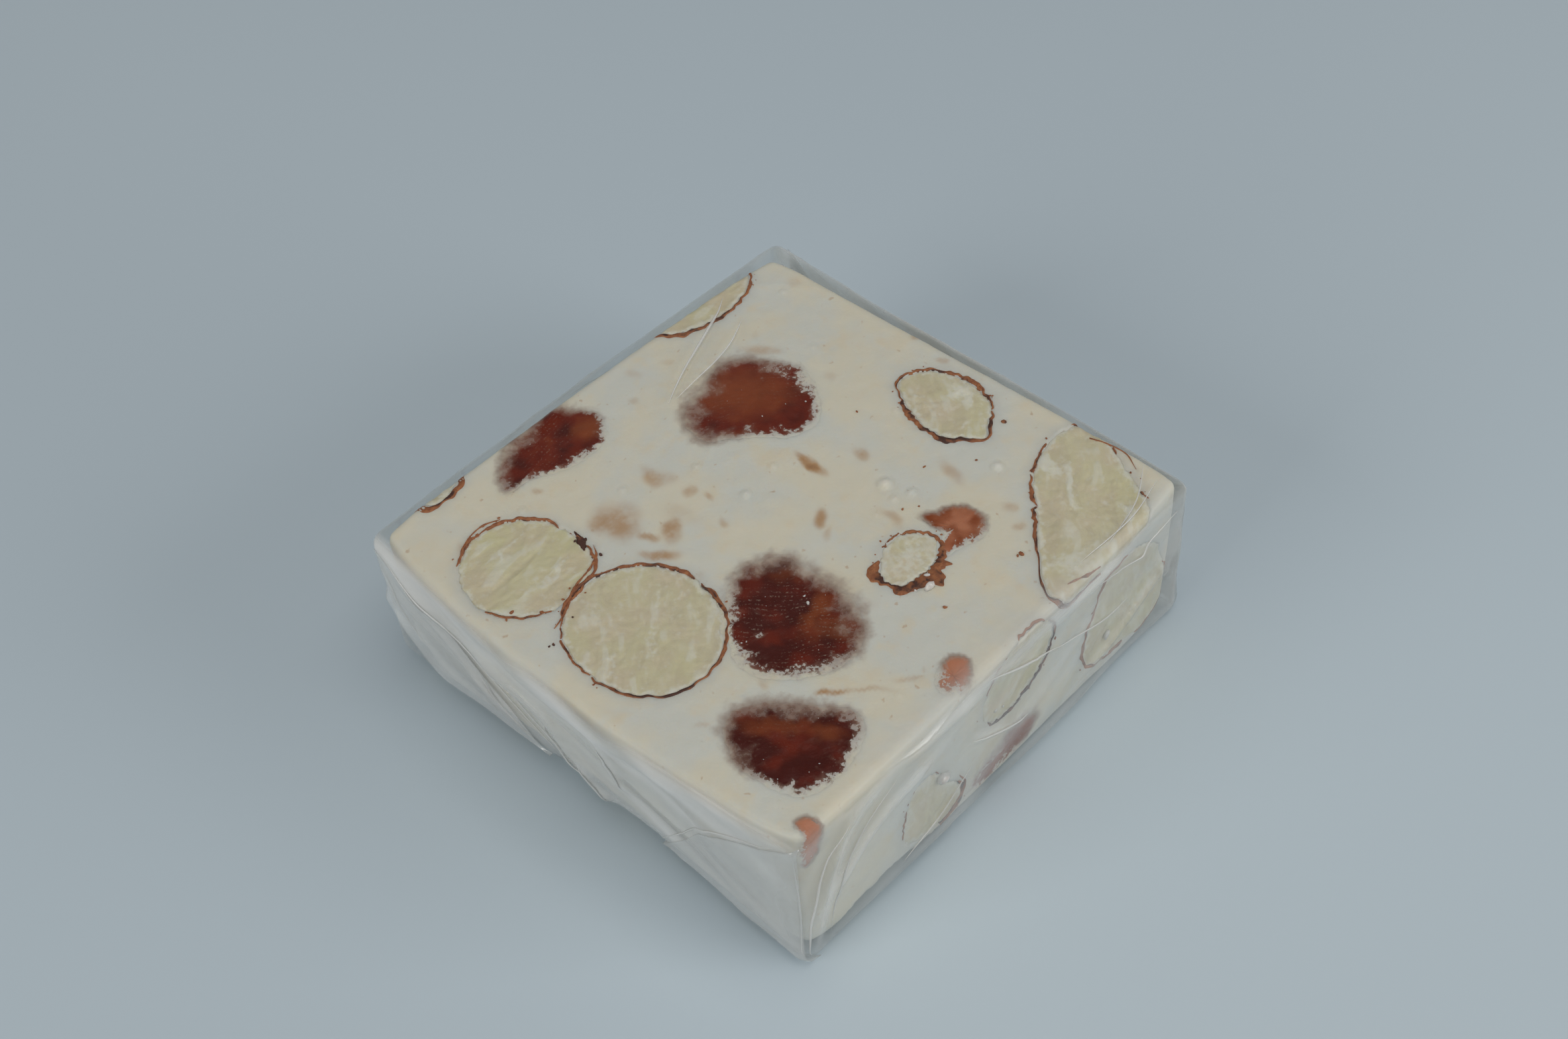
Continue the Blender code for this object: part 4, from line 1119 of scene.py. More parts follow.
# Painted highlights: soft white bands of milk laid where the film catches the light, as creases whose height
# is how milky they are.
PAINTED_SHEEN_BANDS = {
    "front": (
        Crease(((-41.0, 13.4), (-30.0, 12.2), (-15.0, 12.6), (-2.0, 13.2)), 0.16, 1.3),
        Crease(((-18.4, 12.0), (-17.4, 8.6), (-16.8, 5.4)), 0.2, 0.5),
        Crease(((-21.6, 5.0), (-20.6, 3.3), (-19.2, 1.4)), 0.2, 0.45),
    ),
    "right": (
        Crease(((1.2, 0.8), (1.9, 5.3), (2.8, 8.1), (4.0, 10.8), (6.2, 12.9), (10.2, 13.8)), 0.3, 0.6),
        Crease(((2.6, 5.6), (4.8, 8.5), (7.0, 9.7), (11.3, 10.9), (14.4, 11.3)), 0.24, 0.6),
        Crease(((8.0, 13.9), (13.0, 13.9), (22.0, 13.4), (40.0, 13.6)), 0.22, 0.6),
        Crease(((17.2, 8.7), (20.1, 7.3), (23.7, 5.5)), 0.2, 0.5),
    ),
    "top": (
        Crease(((1.5, 0.4), (20.0, 0.5), (40.0, 0.8)), 0.16, 1.1),
        Crease(((0.3, 2.0), (-0.9, 20.0), (0.3, 40.0)), 0.1, 0.8),
    ),
}
# Where the film of a face lies deeper, and where it is clear rather than milky.
DENTS = {
    "front": blots((-30.0, 7.2, 6.0, 2.2, -40, 0.75), (-25.4, 4.4, 3.6, 1.5, -60, 0.75),
                  (-12.0, 9.0, 4.5, 2.0, -50, 0.3)),
    "back": blots((14.0, 6.5, 6.0, 2.4, -30, 0.4)),
}
CLEARINGS = {
    "front": blots((-29.5, 7.0, 6.0, 1.9, -40, 0.5), (-39.8, 3.2, 2.6, 2.2, -30, 0.95),
                  (-1.0, 7.0, 1.2, 7.0, 0, 0.6)),
    "right": blots((13.5, 4.6, 4.0, 2.6, 0, 0.5), (36.0, 5.0, 4.0, 3.0, 0, 0.5)),
}

# The slot under the front flaps, where the folded film isn't sealed: how far along the front, and how high.
MOUTH_SPAN = (12, 20)
MOUTH_HEIGHTS = (0.8, 1.6)


def creased(crease, a, b):
    """The height of a crease at points along its face."""
    curve = curve_through(crease.line, CREASE_POINTS)
    best, height = np.full(len(a), FAR), np.zeros(len(a))
    share = np.linspace(0, 1, len(curve))
    taper = smooth(0.0, CREASE_RISE, share) * smooth(1.0, 1 - CREASE_RISE, share)
    taper = taper * (1 - CREASE_END) + CREASE_END
    for i in range(len(curve) - 1):
        start, leg = curve[i], curve[i + 1] - curve[i]
        t = np.clip(((a - start[0]) * leg[0] + (b - start[1]) * leg[1]) / (leg @ leg), 0, 1)
        away = np.hypot(a - start[0] - t * leg[0], b - start[1] - t * leg[1])
        closer = away < best
        best = np.where(closer, away, best)
        height = np.where(closer, taper[i] + t * (taper[i + 1] - taper[i]), height)
    return crease.height * height * np.exp(-(best / crease.width) ** 2)


def along_folds(face, a, b):
    """The two directions of a face turned so that the first runs along its fine folds."""
    turn = math.radians(FOLD_TURN[face])
    return a * math.cos(turn) + b * math.sin(turn), b * math.cos(turn) - a * math.sin(turn)


def film_relief(face, a, b):
    """How far the film stands out of its plain skin at points along a face."""
    seed = 40 + list(FACES).index(face)
    slack = SLACK_FLAT if face in ("top", "base") else SLACK
    folds = along_folds(face, a, b)
    (swell_size, swell), (fold_size, fold) = SWELLS, FOLDS
    total = slack * swell * face_noise(*folds, swell_size, seed, seed, 2)
    ridges = 1 - 4 * np.abs(face_noise(*folds, fold_size, seed + 1, seed, 1))
    total += slack * fold * np.clip(ridges, 0, 1)
    total -= blotted(DENTS.get(face, ()), a, b)
    return sum((creased(crease, a, b) for crease in CREASES[face]), total)


def film_milk_and_sheen(face, a, b):
    """How milky the film looks, with painted white highlight bands and streaks: clear on the flat faces,
    whiter where it is creased and on the ends.
    """
    seed = 60 + list(FACES).index(face)
    # Painted highlights: white bands along the film's creases and edges.
    painted_sheen = sum((creased(band, a, b) for band in PAINTED_SHEEN_BANDS.get(face, ())), np.zeros(len(a)))
    size, strength = MILK_AND_SHEEN_STREAKS
    streaks = face_noise(*along_folds(face, a, b), size, seed, seed, 2)
    base = FACE_MILK[face] * (1 - blotted(CLEARINGS.get(face, ()), a, b))
    if face == "front":
        base *= smooth(*FRONT_FADE, b)
    return np.clip(base * (1 + strength * streaks) + painted_sheen, 0, 1)


def over_faces(plain, normal, value_on):
    """A value worked out face by face over the film's whole skin, shared between faces round the edges."""
    total, weights = np.zeros(len(plain)), np.zeros(len(plain))
    for face in FACES:
        across, up, out = face_axes(face)
        weight = np.clip(normal @ out, 0, 1) ** 2
        at = weight > 1e-4
        total[at] += weight[at] * value_on(face, plain[at] @ across, plain[at] @ up)
        weights += weight
    return total / weights


def is_mouth(middles):
    """True in the slot under the front flaps."""
    x, y, z = middles.T
    along, high = (y > MOUTH_SPAN[0]) & (y < MOUTH_SPAN[1]), (z > MOUTH_HEIGHTS[0]) & (z < MOUTH_HEIGHTS[1])
    return (x < 0.01) & along & high


def film_piece(material):
    """The film round the slab, a thin closed shell."""
    plain, normal, quads = block_skin(FILM, FILM_STEP)
    quads = quads[~is_mouth(plain[quads].mean(1))]
    least = np.where(normal[:, 2] < -0.5, 0.0, FILM_IN)
    height = np.clip(over_faces(plain, normal, film_relief), least, FILM_OUT)
    points = shaped(FILM, plain + normal * height[:, None])
    points[:, 2] = np.clip(points[:, 2], FILM_FLOOR, FILM_CEILING)
    corner = points[quads]
    across = np.cross(corner[:, 2] - corner[:, 0], corner[:, 3] - corner[:, 1])
    outward = np.zeros_like(points)
    for column in quads.T:
        np.add.at(outward, column, across)
    outward /= np.maximum(np.linalg.norm(outward, axis=1), TINY)[:, None]
    points, faces = shell(points, quads.tolist(), outward)
    milk, loose = over_faces(plain, normal, film_milk_and_sheen), smooth(*LOOSE_FACING, normal[:, 2])
    values = {"milk": np.tile(milk, 2), "loose": np.tile(loose, 2)}
    make_piece("film_sleeve", points, faces, material, values, ("film_wrapper",))


# An end flap: its lower and upper edge along the end face from its tip to the upright corner, and how far its
# free edge is lifted.
Flap = namedtuple("Flap", "name face lower upper lift")
FLAPS = (
    Flap("film_front_flap_near", "front", ((-14.4, 0.9), (-10.4, 1.3), (-5.0, 0.8), (-0.3, 0.3)),
         ((-14.4, 0.9), (-11.4, 4.8), (-8.0, 9.2), (-0.3, 14.2)), 0.34),
    Flap("film_front_flap_far", "front",
         ((-41.5, 8.0), (-39.6, 4.6), (-36.4, 2.0), (-31.0, 1.3), (-26.0, 1.1)),
         ((-41.5, 13.6), (-38.0, 12.4), (-34.0, 9.2), (-30.4, 5.0), (-26.0, 1.1)), 0.25),
    Flap("film_back_flap_near", "back", ((0.4, 0.4), (9.0, 1.6), (18.0, 1.8), (28.5, 1.0)),
         ((0.4, 13.6), (8.0, 9.8), (17.0, 7.0), (28.5, 1.0)), 0.2),
    Flap("film_back_flap_far", "back", ((27.0, 1.2), (31.5, 1.6), (36.5, 0.8), (40.9, 0.3)),
         ((27.0, 1.2), (31.8, 7.0), (36.4, 10.4), (40.9, 14.0)), 0.3),
)
# How finely the flaps are meshed, how far they lie over the film, how deep and how low they may come, their
# ripples' length, width and height, and how milky they are.
FLAP_STEP = 0.3
FLAP_ROWS = 40
FLAP_OVER = 0.1
FLAP_IN = -0.15
FLAP_FLOOR = 0.08
FLAP_RIPPLES = ((6.0, 2.6), 0.1)
FLAP_MILK = 0.2


def flap_piece(flap, material):
    """A loose triangle of folded film that lies over the end of the sleeve, with its free edge lifted."""
    columns = round(abs(flap.lower[-1][0] - flap.lower[0][0]) / FLAP_STEP)
    lower, upper = curve_through(flap.lower, columns), curve_through(flap.upper, columns)
    share = np.linspace(0, 1, FLAP_ROWS)
    grid = lower[None] + share[:, None, None] * (upper - lower)[None]
    a, b = grid[:, :, 0].ravel(), grid[:, :, 1].ravel()
    free = smooth(0.5, 0.0, np.repeat(share, columns))
    seed = name_seed(flap.name, 71)
    size, strength = FLAP_RIPPLES
    ripple = strength * face_noise(a, b, size, seed, seed, 2)
    place, normal = on_skin(FILM, flap.face, a, b)
    height = over_faces(place, normal, film_relief)
    height += FLAP_OVER + flap.lift * free ** 2 + ripple * (0.3 + free)
    points = shaped(FILM, place + normal * np.clip(height, FLAP_IN, FILM_OUT)[:, None])
    points[:, 2] = np.maximum(points[:, 2], FLAP_FLOOR)
    number = np.arange(FLAP_ROWS * columns).reshape(FLAP_ROWS, columns)
    points, faces = shell(*welded(points, sheet_quads(number.T)))
    values = {"milk": np.full(len(points), FLAP_MILK), "loose": np.ones(len(points))}
    make_piece(flap.name, points, faces, material, values)


def welded(points, quads):
    """A sheet whose points in the same place are made one: its points, faces and outward directions."""
    key = {}
    merged = [key.setdefault(tuple(point), len(key)) for point in np.round(points, 4).tolist()]
    points = points[np.unique(merged, return_index=True)[1]]
    faces = []
    for quad in np.array(merged)[quads]:
        corners = [quad[i] for i in range(4) if quad[i] != quad[i - 1]]
        if len(corners) > 2:
            faces.append(corners)
    normal = np.zeros_like(points)
    for face in faces:
        normal[face] += np.cross(points[face[1]] - points[face[0]], points[face[-1]] - points[face[0]])
    outward = np.sign(normal[:, 0].sum() * (points[:, 0].mean() - SIDE / 2))
    normal *= outward / np.maximum(np.linalg.norm(normal, axis=1), TINY)[:, None]
    return points, [face[::-1] for face in faces] if outward < 0 else faces, normal


# A pleat: a thin fold that stands on the film along a line of a face, painted bright as a highlight, and its
# half width.
Pleat = namedtuple("Pleat", "face line width")
PLEATS = (
    Pleat("top", ((34.5, 40.2), (32.8, 39.1), (30.0, 37.8), (27.2, 36.6), (25.1, 35.6), (23.7, 34.8)),
          0.13),
    Pleat("top", ((33.9, 37.4), (31.5, 36.0), (29.1, 35.3), (27.1, 35.0), (24.5, 34.7)), 0.08),
    Pleat("top", ((40.6, 2.0), (36.5, 1.2), (31.0, 1.4)), 0.06),
    Pleat("top", ((41.4, 3.8), (38.0, 1.9), (33.4, 0.9)), 0.06),
    Pleat("right", ((19.2, 13.7), (22.8, 12.1), (26.4, 10.7)), 0.12),
    Pleat("right", ((26.0, 10.8), (30.5, 9.0), (35.3, 7.6)), 0.07),
    Pleat("right", ((17.2, 8.7), (20.1, 7.3), (23.7, 5.5)), 0.08),
    Pleat("right", ((0.4, 1.0), (0.8, 6.5), (2.2, 10.8), (4.8, 13.2)), 0.08),
    Pleat("right", ((2.6, 2.0), (3.6, 7.4), (6.0, 10.6), (9.5, 12.6)), 0.06),
    Pleat("right", ((30.0, 13.2), (35.0, 12.0), (40.6, 12.6)), 0.07),
    Pleat("right", ((10.0, 2.2), (14.0, 3.4), (17.4, 5.6)), 0.05),
    Pleat("front", ((-41.0, 13.8), (-36.4, 11.8), (-30.0, 10.2), (-24.8, 9.0), (-23.4, 8.0)), 0.12),
    Pleat("front", ((-24.8, 9.0), (-24.2, 6.2), (-22.6, 3.4), (-20.2, 1.6)), 0.11),
    Pleat("front", ((-39.6, 12.6), (-34.8, 9.2), (-30.8, 4.6), (-27.0, 1.4)), 0.1),
    Pleat("front", ((-37.0, 11.4), (-32.6, 8.8), (-28.6, 5.2), (-25.0, 1.8)), 0.06),
    Pleat("front", ((-34.0, 10.4), (-29.6, 8.0), (-26.4, 4.8), (-23.4, 1.8)), 0.05),
    Pleat("front", ((-41.2, 12.0), (-40.4, 8.0), (-38.6, 4.6)), 0.07),
    Pleat("front", ((-17.9, 11.0), (-17.4, 8.6), (-16.8, 6.2)), 0.16),
    Pleat("front", ((-21.4, 4.8), (-20.6, 3.3), (-19.4, 1.6)), 0.14),
    Pleat("front", ((-14.6, 1.4), (-11.6, 5.4), (-8.2, 9.6), (-2.0, 13.4)), 0.09),
    Pleat("front", ((-0.5, 0.8), (-0.35, 7.0), (-0.5, 13.2)), 0.07),
    Pleat("left", ((-38.0, 12.8), (-30.0, 12.2), (-20.0, 13.2)), 0.06),
    Pleat("left", ((-16.0, 11.0), (-9.0, 8.4), (-2.0, 9.2)), 0.06),
    Pleat("back", ((1.2, 13.0), (8.0, 10.4), (16.0, 7.2)), 0.08),
    Pleat("back", ((40.2, 12.6), (35.5, 9.4), (30.0, 4.2)), 0.08),
)
# A pleat's section: how far across in half widths, and how high. Then how finely pleats are meshed, how far
# they stand over the film, how deep they may lie, and how milky they are, which paints them white as
# highlights.
PLEAT_SECTION = ((-1.0, 0.0), (0.0, 0.11), (1.0, 0.0), (0.0, -0.04))
PLEAT_STEP = 0.4
PLEAT_OVER = 0.01
PLEAT_IN = -0.3
PLEAT_MILK_AS_HIGHLIGHT = 0.5


def film_pleats(material):
    """The folds that stand on the film, painted bright as highlights, in one mesh."""
    def taper_along(curve, _):
        return np.sin(np.linspace(0.03, math.pi - 0.03, len(curve))) ** 0.7

    def lay(face, a, b, high, taper):
        place, normal = on_skin(FILM, face, a, b)
        lift = np.clip(over_faces(place, normal, film_relief), PLEAT_IN, FILM_OUT) + high * taper + PLEAT_OVER
        return shaped(FILM, place + normal * lift[:, None])

    points, faces = ribbons(PLEATS, PLEAT_SECTION, PLEAT_STEP, taper_along, lay)
    points = np.concatenate(points)
    values = {"milk": np.full(len(points), PLEAT_MILK_AS_HIGHLIGHT), "loose": np.ones(len(points))}
    make_piece("film_pleats", points, faces, material, values)


# ---------------------------------------------------------------- materials

class Nodes:
    """A material's node tree, built one call a node. An input is a number, a colour or a node's output."""

    def __init__(self, name):
        self.material = bpy.data.materials.new(name)
        self.material.use_nodes = True
        self.tree = self.material.node_tree
        self.tree.nodes.clear()

    def add(self, kind, inputs=None, **settings):
        node = self.tree.nodes.new("ShaderNode" + kind)
        for key, value in settings.items():
            setattr(node, key, value)
        for key, value in (inputs or {}).items():
            self.feed(node.inputs[key], value)
        return node

    def feed(self, socket, value):
        if isinstance(value, bpy.types.NodeSocket):
            self.tree.links.new(value, socket)
        elif isinstance(value, tuple) and socket.type == "RGBA":
            socket.default_value = (*value, 1.0)
        else:
            socket.default_value = value

    def attribute(self, name):
        return self.add("Attribute", attribute_name=name).outputs["Fac"]

    def noise(self, per_mm, detail=3.0, roughness=0.5):
        place = self.add("TexCoord").outputs["Object"]
        inputs = {"Vector": place, "Scale": per_mm / MM, "Detail": detail, "Roughness": roughness}
        return self.add("TexNoise", inputs).outputs["Fac"]

    def math(self, operation, first, second=0.0):
        return self.add("Math", {0: first, 1: second}, operation=operation).outputs[0]

    def fit(self, value, low, high, new_low=0.0, new_high=1.0, kind="SMOOTHSTEP"):
        """The value's range low..high made into a new one."""
        inputs = {"Value": value, "From Min": low, "From Max": high, "To Min": new_low, "To Max": new_high}
        return self.add("MapRange", inputs, interpolation_type=kind).outputs["Result"]

    def mix(self, share, first, second):
        node = self.add("Mix", data_type="RGBA")
        for key, value in (("Factor", share), ("A", first), ("B", second)):
            self.feed([s for s in node.inputs if s.name == key and s.enabled][0], value)
        return [s for s in node.outputs if s.enabled][0]

    def tint(self, base, colour, value, low, high, most=1.0):
        """A base mixed towards a colour, by nothing at the low value up to the most at the high one."""
        return self.mix(self.fit(value, low, high, 0.0, most), base, colour)

    def bump(self, height, distance, strength, after=None):
        inputs = {"Height": height, "Distance": distance * MM, "Strength": strength}
        if after is not None:
            inputs["Normal"] = after
        return self.add("Bump", inputs).outputs["Normal"]

    def surface(self, colour, roughness, normal, glow=None, specular=0.5):
        """A principled surface. Its glow under the skin is how strong, how far by colour, and how many mm."""
        inputs = {"Base Color": colour, "Roughness": roughness, "Normal": normal}
        inputs["Specular IOR Level"] = specular
        if glow:
            inputs["Subsurface Weight"], inputs["Subsurface Radius"] = glow[:2]
            inputs["Subsurface Scale"] = glow[2] * MM
        return self.add("BsdfPrincipled", inputs).outputs[0]

    def finish(self, shader):
        self.add("OutputMaterial", {"Surface": shader})
        return self.material


CREAM = (0.80, 0.74, 0.60)
CREAM_WARM = (0.80, 0.69, 0.51)
CREAM_COOL = (0.74, 0.73, 0.66)
TAN = (0.52, 0.30, 0.145)
BROWN = (0.34, 0.17, 0.08)
HAZE = (0.36, 0.245, 0.185)
FROST = (0.62, 0.575, 0.53)
COOL_HALO = (0.62, 0.61, 0.57)

KERNEL = (0.69, 0.615, 0.45)
KERNEL_YELLOW = (0.69, 0.635, 0.39)
KERNEL_WHITE = (0.80, 0.78, 0.68)
KERNEL_PINK = (0.70, 0.575, 0.44)
# Darker kernel: its grain, and painted shade in its grooves and along its rim.
KERNEL_GRAIN_AND_SHADE = (0.60, 0.52, 0.36)

SKIN_ORANGE = (0.44, 0.165, 0.06)
SKIN_BROWN = (0.27, 0.085, 0.032)
SKIN_DARK = (0.075, 0.024, 0.014)

FLESH_DEEP = (0.075, 0.009, 0.005)
FLESH_RED = (0.165, 0.018, 0.006)
FLESH_BROWN = (0.29, 0.07, 0.02)
FLESH_PINK = (0.55, 0.215, 0.115)

SUGAR = (0.78, 0.75, 0.71)
SUGAR_GREY = (0.66, 0.62, 0.58)

FILM_CLEAR = (0.985, 0.99, 0.99)
FILM_GLOSS = (0.93, 0.95, 0.96)
FILM_MILK = (0.93, 0.925, 0.90)


def veiled(nodes, core, surround):
    """The colour from a cherry's flesh through the nougat that veils its rim to the nougat round it. The veil
    is smooth and brown on one side, and broken into white lumps of sugar on the frosted one."""
    veil, frost = nodes.attribute("veil"), nodes.attribute("frost")
    fine = nodes.math("SUBTRACT", nodes.noise(2.0, 3.0, 0.6), 0.5)
    broad = nodes.math("SUBTRACT", nodes.noise(0.9, 2.0, 0.5), 0.5)
    amount = nodes.fit(frost, 0.0, 1.0, 0.45, 1.2, "LINEAR")
    ragged = nodes.math("ADD", veil, nodes.math("MULTIPLY", fine, amount))
    ragged = nodes.math("ADD", ragged, nodes.math("MULTIPLY", broad, 0.9))
    thin = nodes.math("POWER", nodes.fit(ragged, -0.03, 0.95, 0.0, 1.0, "LINEAR"), 1.6)
    hazy = nodes.mix(thin, core, HAZE)
    grains = nodes.fit(nodes.noise(2.6, 3.0, 0.65), 0.40, 0.60)
    cover = nodes.math("ADD", grains, nodes.fit(ragged, 0.0, 0.9, -1.0, 0.5, "LINEAR"))
    lumps = nodes.math("MULTIPLY", nodes.fit(cover, 0.15, 0.6), nodes.fit(frost, 0.2, 0.7, 0.12, 0.92))
    frosty = nodes.mix(lumps, hazy, FROST)
    nearer, outer = nodes.fit(frost, 0.2, 0.8, 0.7, 0.5), nodes.fit(frost, 0.2, 0.8, 1.7, 1.05)
    return nodes.mix(nodes.fit(ragged, nearer, outer), frosty, surround)


def nougat_colour(nodes):
    """Cream with cooler and warmer clouds, and tan specks."""
    base = nodes.tint(CREAM_COOL, CREAM, nodes.noise(0.16, 3.0, 0.55), 0.38, 0.62)
    base = nodes.tint(base, CREAM_WARM, nodes.noise(0.45, 3.0, 0.6), 0.52, 0.75, 0.6)
    return nodes.tint(base, TAN, nodes.noise(1.6, 2.0), 0.68, 0.78, 0.45)


def nougat_material():
    nodes = Nodes("nougat_cream")
    halo = nodes.math("MULTIPLY", nodes.attribute("halo"), 0.4)
    base = nodes.mix(halo, nougat_colour(nodes), COOL_HALO)
    patchy = nodes.fit(nodes.noise(0.8, 3.0, 0.6), 0.3, 0.6, 0.7, 1.0)
    stain = nodes.math("MULTIPLY", nodes.attribute("stain"), patchy)
    base = nodes.tint(base, TAN, stain, 0.0, 1.0)
    base = nodes.tint(base, BROWN, stain, 0.8, 1.3, 0.6)
    colour = veiled(nodes, HAZE, base)
    grain = nodes.bump(nodes.noise(4.5, 3.0, 0.6), 0.03, 0.6)
    grain = nodes.bump(nodes.noise(0.9, 2.0), 0.06, 0.5, grain)
    return nodes.finish(nodes.surface(colour, 0.42, grain, (0.35, (1.0, 0.8, 0.6), 1.4), 0.45))


def kernel_material():
    nodes = Nodes("almond_flesh")
    fibre, deep = nodes.attribute("fibre"), nodes.attribute("deep")
    base = nodes.mix(nodes.attribute("yellow"), KERNEL, KERNEL_YELLOW)
    base = nodes.tint(base, KERNEL_PINK, nodes.noise(0.35, 2.0), 0.4, 0.65, 0.5)
    base = nodes.tint(base, KERNEL_GRAIN_AND_SHADE, fibre, -0.1, -0.7, 0.4)
    base = nodes.tint(base, KERNEL_WHITE, fibre, 0.1, 0.8, 0.45)
    crumbs = nodes.fit(nodes.noise(2.4, 3.0, 0.6), 0.3, 0.7, -0.3, 0.3, "LINEAR")
    torn = nodes.math("ADD", nodes.attribute("flake"), crumbs)
    base = nodes.tint(base, KERNEL_WHITE, torn, 0.2, 0.9, 0.75)
    # Painted shade: the grooves are darkened as well as sunk.
    base = nodes.tint(base, KERNEL_GRAIN_AND_SHADE, nodes.attribute("groove"), 0.0, 1.0, 0.5)
    base = nodes.tint(base, KERNEL_WHITE, nodes.noise(1.4, 3.0, 0.6), 0.55, 0.75, 0.4)
    wander = nodes.fit(nodes.noise(1.8, 3.0, 0.65), 0.3, 0.7, -0.35, 0.35, "LINEAR")
    base = nodes.tint(base, KERNEL_WHITE, nodes.math("ADD", deep, wander), 0.6, 0.1, 0.7)
    # Painted shade: darker along the rim, where the kernel drops under its skin.
    base = nodes.tint(base, KERNEL_GRAIN_AND_SHADE, deep, 0.14, 0.0, 0.6)
    grain = nodes.bump(nodes.noise(5.0, 3.0, 0.6), 0.04, 0.6)
    return nodes.finish(nodes.surface(base, 0.5, grain, (0.25, (1.0, 0.8, 0.45), 0.9)))


def sugar_material():
    nodes = Nodes("sugar_grains")
    base = nodes.tint(SUGAR_GREY, SUGAR, nodes.noise(3.0, 3.0, 0.6), 0.35, 0.65)
    grain = nodes.bump(nodes.noise(8.0, 2.0, 0.6), 0.04, 0.8)
    return nodes.finish(nodes.surface(base, 0.25, grain, (0.5, (1.0, 0.9, 0.8), 0.4), 0.6))


def skin_material():
    nodes = Nodes("almond_skin_brown")
    base = nodes.tint(SKIN_BROWN, SKIN_ORANGE, nodes.noise(2.6, 4.0, 0.65), 0.35, 0.65)
    patchy = nodes.fit(nodes.noise(1.3, 3.0, 0.6), 0.3, 0.7, -0.35, 0.35)
    worn = nodes.math("ADD", nodes.attribute("dark"), patchy)
    base = nodes.tint(base, SKIN_DARK, worn, 0.35, 0.9)
    return nodes.finish(nodes.surface(base, 0.6, nodes.bump(nodes.noise(6.0, 3.0, 0.6), 0.05, 0.8)))


def cherry_material():
    nodes = Nodes("candied_cherry")
    tone = nodes.attribute("tone")
    core = nodes.tint(FLESH_DEEP, FLESH_RED, tone, 0.0, 0.5)
    core = nodes.tint(core, FLESH_BROWN, tone, 0.4, 1.0, 0.85)
    core = nodes.tint(core, FLESH_PINK, tone, 1.0, 1.5)
    # Painted glow: lighter brown places in the flesh, as light glowing through it.
    core = nodes.mix(nodes.attribute("glow"), core, FLESH_BROWN)
    ridge = nodes.math("SINE", nodes.math("MULTIPLY", nodes.attribute("row"), TURN))
    specks = nodes.fit(nodes.noise(5.5, 2.0, 0.6), 0.52, 0.7)
    specks = nodes.math("MULTIPLY", specks, nodes.fit(ridge, -0.2, 0.9))
    specks = nodes.math("MULTIPLY", specks, nodes.attribute("rowed"))
    raised = nodes.math("MULTIPLY", specks, 0.6)
    core = nodes.mix(raised, core, HAZE)
    colour = veiled(nodes, core, nodes.mix(0.1, nougat_colour(nodes), HAZE))
    grain = nodes.bump(nodes.math("ADD", nodes.noise(4.0, 3.0, 0.6), raised), 0.05, 0.8)
    return nodes.finish(nodes.surface(colour, 0.38, grain, (0.12, (1.0, 0.25, 0.12), 1.2), 0.18))


def film_material():
    """Clear film: see-through, glossier at its edges, white where milky and with painted highlights."""
    nodes = Nodes("clear_film")
    fine = nodes.bump(nodes.noise(0.5), 0.12, 0.5)
    facing = nodes.add("LayerWeight", {"Blend": 0.5, "Normal": fine}).outputs["Facing"]
    clear = nodes.add("BsdfTransparent", {"Color": FILM_CLEAR}).outputs[0]
    gloss = nodes.add("BsdfPrincipled", {
        "Base Color": FILM_GLOSS, "Metallic": 1.0, "Roughness": 0.09, "Normal": fine,
    }).outputs[0]
    shiny = nodes.math("MULTIPLY", nodes.math("POWER", facing, 4.0), 0.22)
    shiny = nodes.math("ADD", shiny, nodes.math("MULTIPLY", nodes.attribute("loose"), 0.07))
    mixed = nodes.add("MixShader", {0: shiny, 1: clear, 2: gloss}).outputs[0]
    edge = nodes.math("MULTIPLY", nodes.math("POWER", facing, 3.0), 0.16)
    # The milk attribute also carries the painted highlight bands and streaks.
    white = nodes.math("ADD", nodes.attribute("milk"), edge)
    milky = nodes.surface(FILM_MILK, 0.25, fine)
    return nodes.finish(nodes.add("MixShader", {0: white, 1: mixed, 2: milky}).outputs[0])


# ---------------------------------------------------------------- surroundings

# The floor: half its width, in metres, and the two colours it wanders between.
FLOOR_HALF = 0.9
FLOOR_COLOUR = (0.60, 0.70, 0.765)
FLOOR_SHADE = (0.54, 0.63, 0.695)

SKY_COLOUR = (0.92, 0.97, 1.0, 1.0)
SKY_STRENGTH = 0.215
# The lights: name, place, size, power and colour. All of them shine on the middle of the bar.
LIGHTS = (
    ("overhead", (0.02, -0.10, 0.50), (0.35, 0.35), 0.64, (1.0, 0.965, 0.92)),
    ("window", (-0.62, 0.10, 0.28), (0.4, 0.3), 1.4, (1.0, 0.98, 0.95)),
    ("side", (0.30, -0.62, 0.26), (0.4, 0.3), 1.6, (1.0, 0.985, 0.97)),
)
BAR_MIDDLE = (0, 0, 0.007)

# The camera, in the bar's grid.
CAMERA_PLACE = (-56.44, -59.85, 138.58)
CAMERA_RIGHT = (0.67823, -0.73302, -0.05182)
CAMERA_FORWARD = (0.46175, 0.47997, -0.74594)
LENS = 53.09


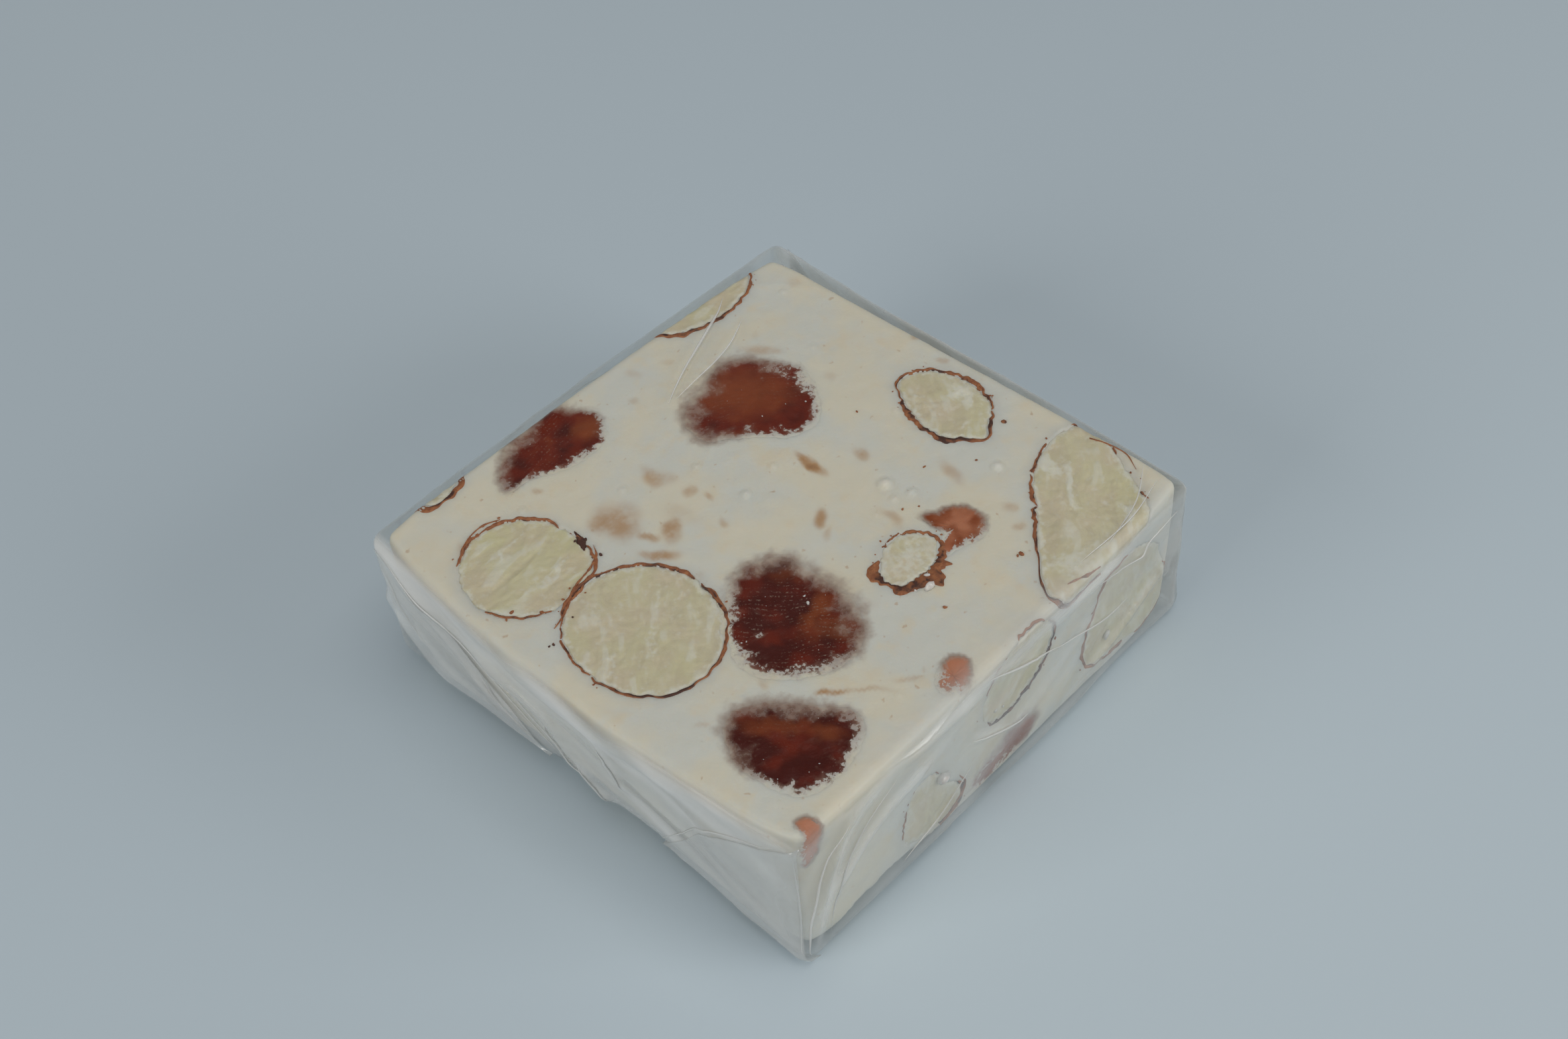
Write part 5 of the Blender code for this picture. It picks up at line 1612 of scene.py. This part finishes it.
def make_floor():
    nodes = Nodes("pale_floor")
    colour = nodes.tint(FLOOR_SHADE, FLOOR_COLOUR, nodes.noise(0.004, 2.0), 0.3, 0.7)
    shader = nodes.add("BsdfPrincipled", {"Base Color": colour, "Roughness": 0.32, "Specular IOR Level": 0.4})
    mesh = bpy.data.meshes.new("floor")
    h = FLOOR_HALF
    mesh.from_pydata([(-h, -h, 0), (h, -h, 0), (h, h, 0), (-h, h, 0)], [], [(0, 1, 2, 3)])
    mesh.materials.append(nodes.finish(shader.outputs[0]))
    floor = bpy.data.objects.new("floor", mesh)
    bpy.context.scene.collection.objects.link(floor)


def add_light(name, place, size, power, colour):
    light = bpy.data.lights.new(name, "AREA")
    light.shape = "RECTANGLE"
    light.size, light.size_y = size
    light.energy = power
    light.color = colour
    lamp = bpy.data.objects.new(name, light)
    bpy.context.scene.collection.objects.link(lamp)
    lamp.location = place
    lamp.rotation_euler = (Vector(BAR_MIDDLE) - lamp.location).to_track_quat("-Z", "Y").to_euler()


def light_scene():
    world = bpy.data.worlds.new("studio")
    world.use_nodes = True
    sky = world.node_tree.nodes["Background"]
    sky.inputs["Color"].default_value = SKY_COLOUR
    sky.inputs["Strength"].default_value = SKY_STRENGTH
    bpy.context.scene.world = world
    for light in LIGHTS:
        add_light(*light)
    bpy.context.scene.view_settings.view_transform = "Standard"


def add_camera():
    data = bpy.data.cameras.new("camera")
    data.lens = LENS
    camera = bpy.data.objects.new("camera", data)
    bpy.context.scene.collection.objects.link(camera)
    right, forward = Vector(CAMERA_RIGHT).normalized(), Vector(CAMERA_FORWARD).normalized()
    turned = Matrix((right, right.cross(forward), -forward)).transposed().to_4x4()
    place = Vector((np.array(CAMERA_PLACE) + ORIGIN) * MM)
    camera.matrix_world = Matrix.Translation(place) @ turned
    bpy.context.scene.camera = camera


def build():
    nougat_piece(nougat_material())
    kernel, skin, cherry, film = kernel_material(), skin_material(), cherry_material(), film_material()
    for almond in ALMONDS:
        cut_piece(almond, kernel_surface, kernel)
        skin_piece(almond, skin)
    for inclusion in CHERRIES:
        cut_piece(inclusion, cherry_surface, cherry, CHERRY_RIM)
    rng = np.random.default_rng(11)
    strand_piece(skin)
    bits_piece("skin_crumbs", torn_bits(rng), skin)
    bits_piece("sugar_grains", sugar_grains(rng), sugar_material())
    film_piece(film)
    for flap in FLAPS:
        flap_piece(flap, film)
    film_pleats(film)
    make_floor()
    light_scene()
    add_camera()


build()
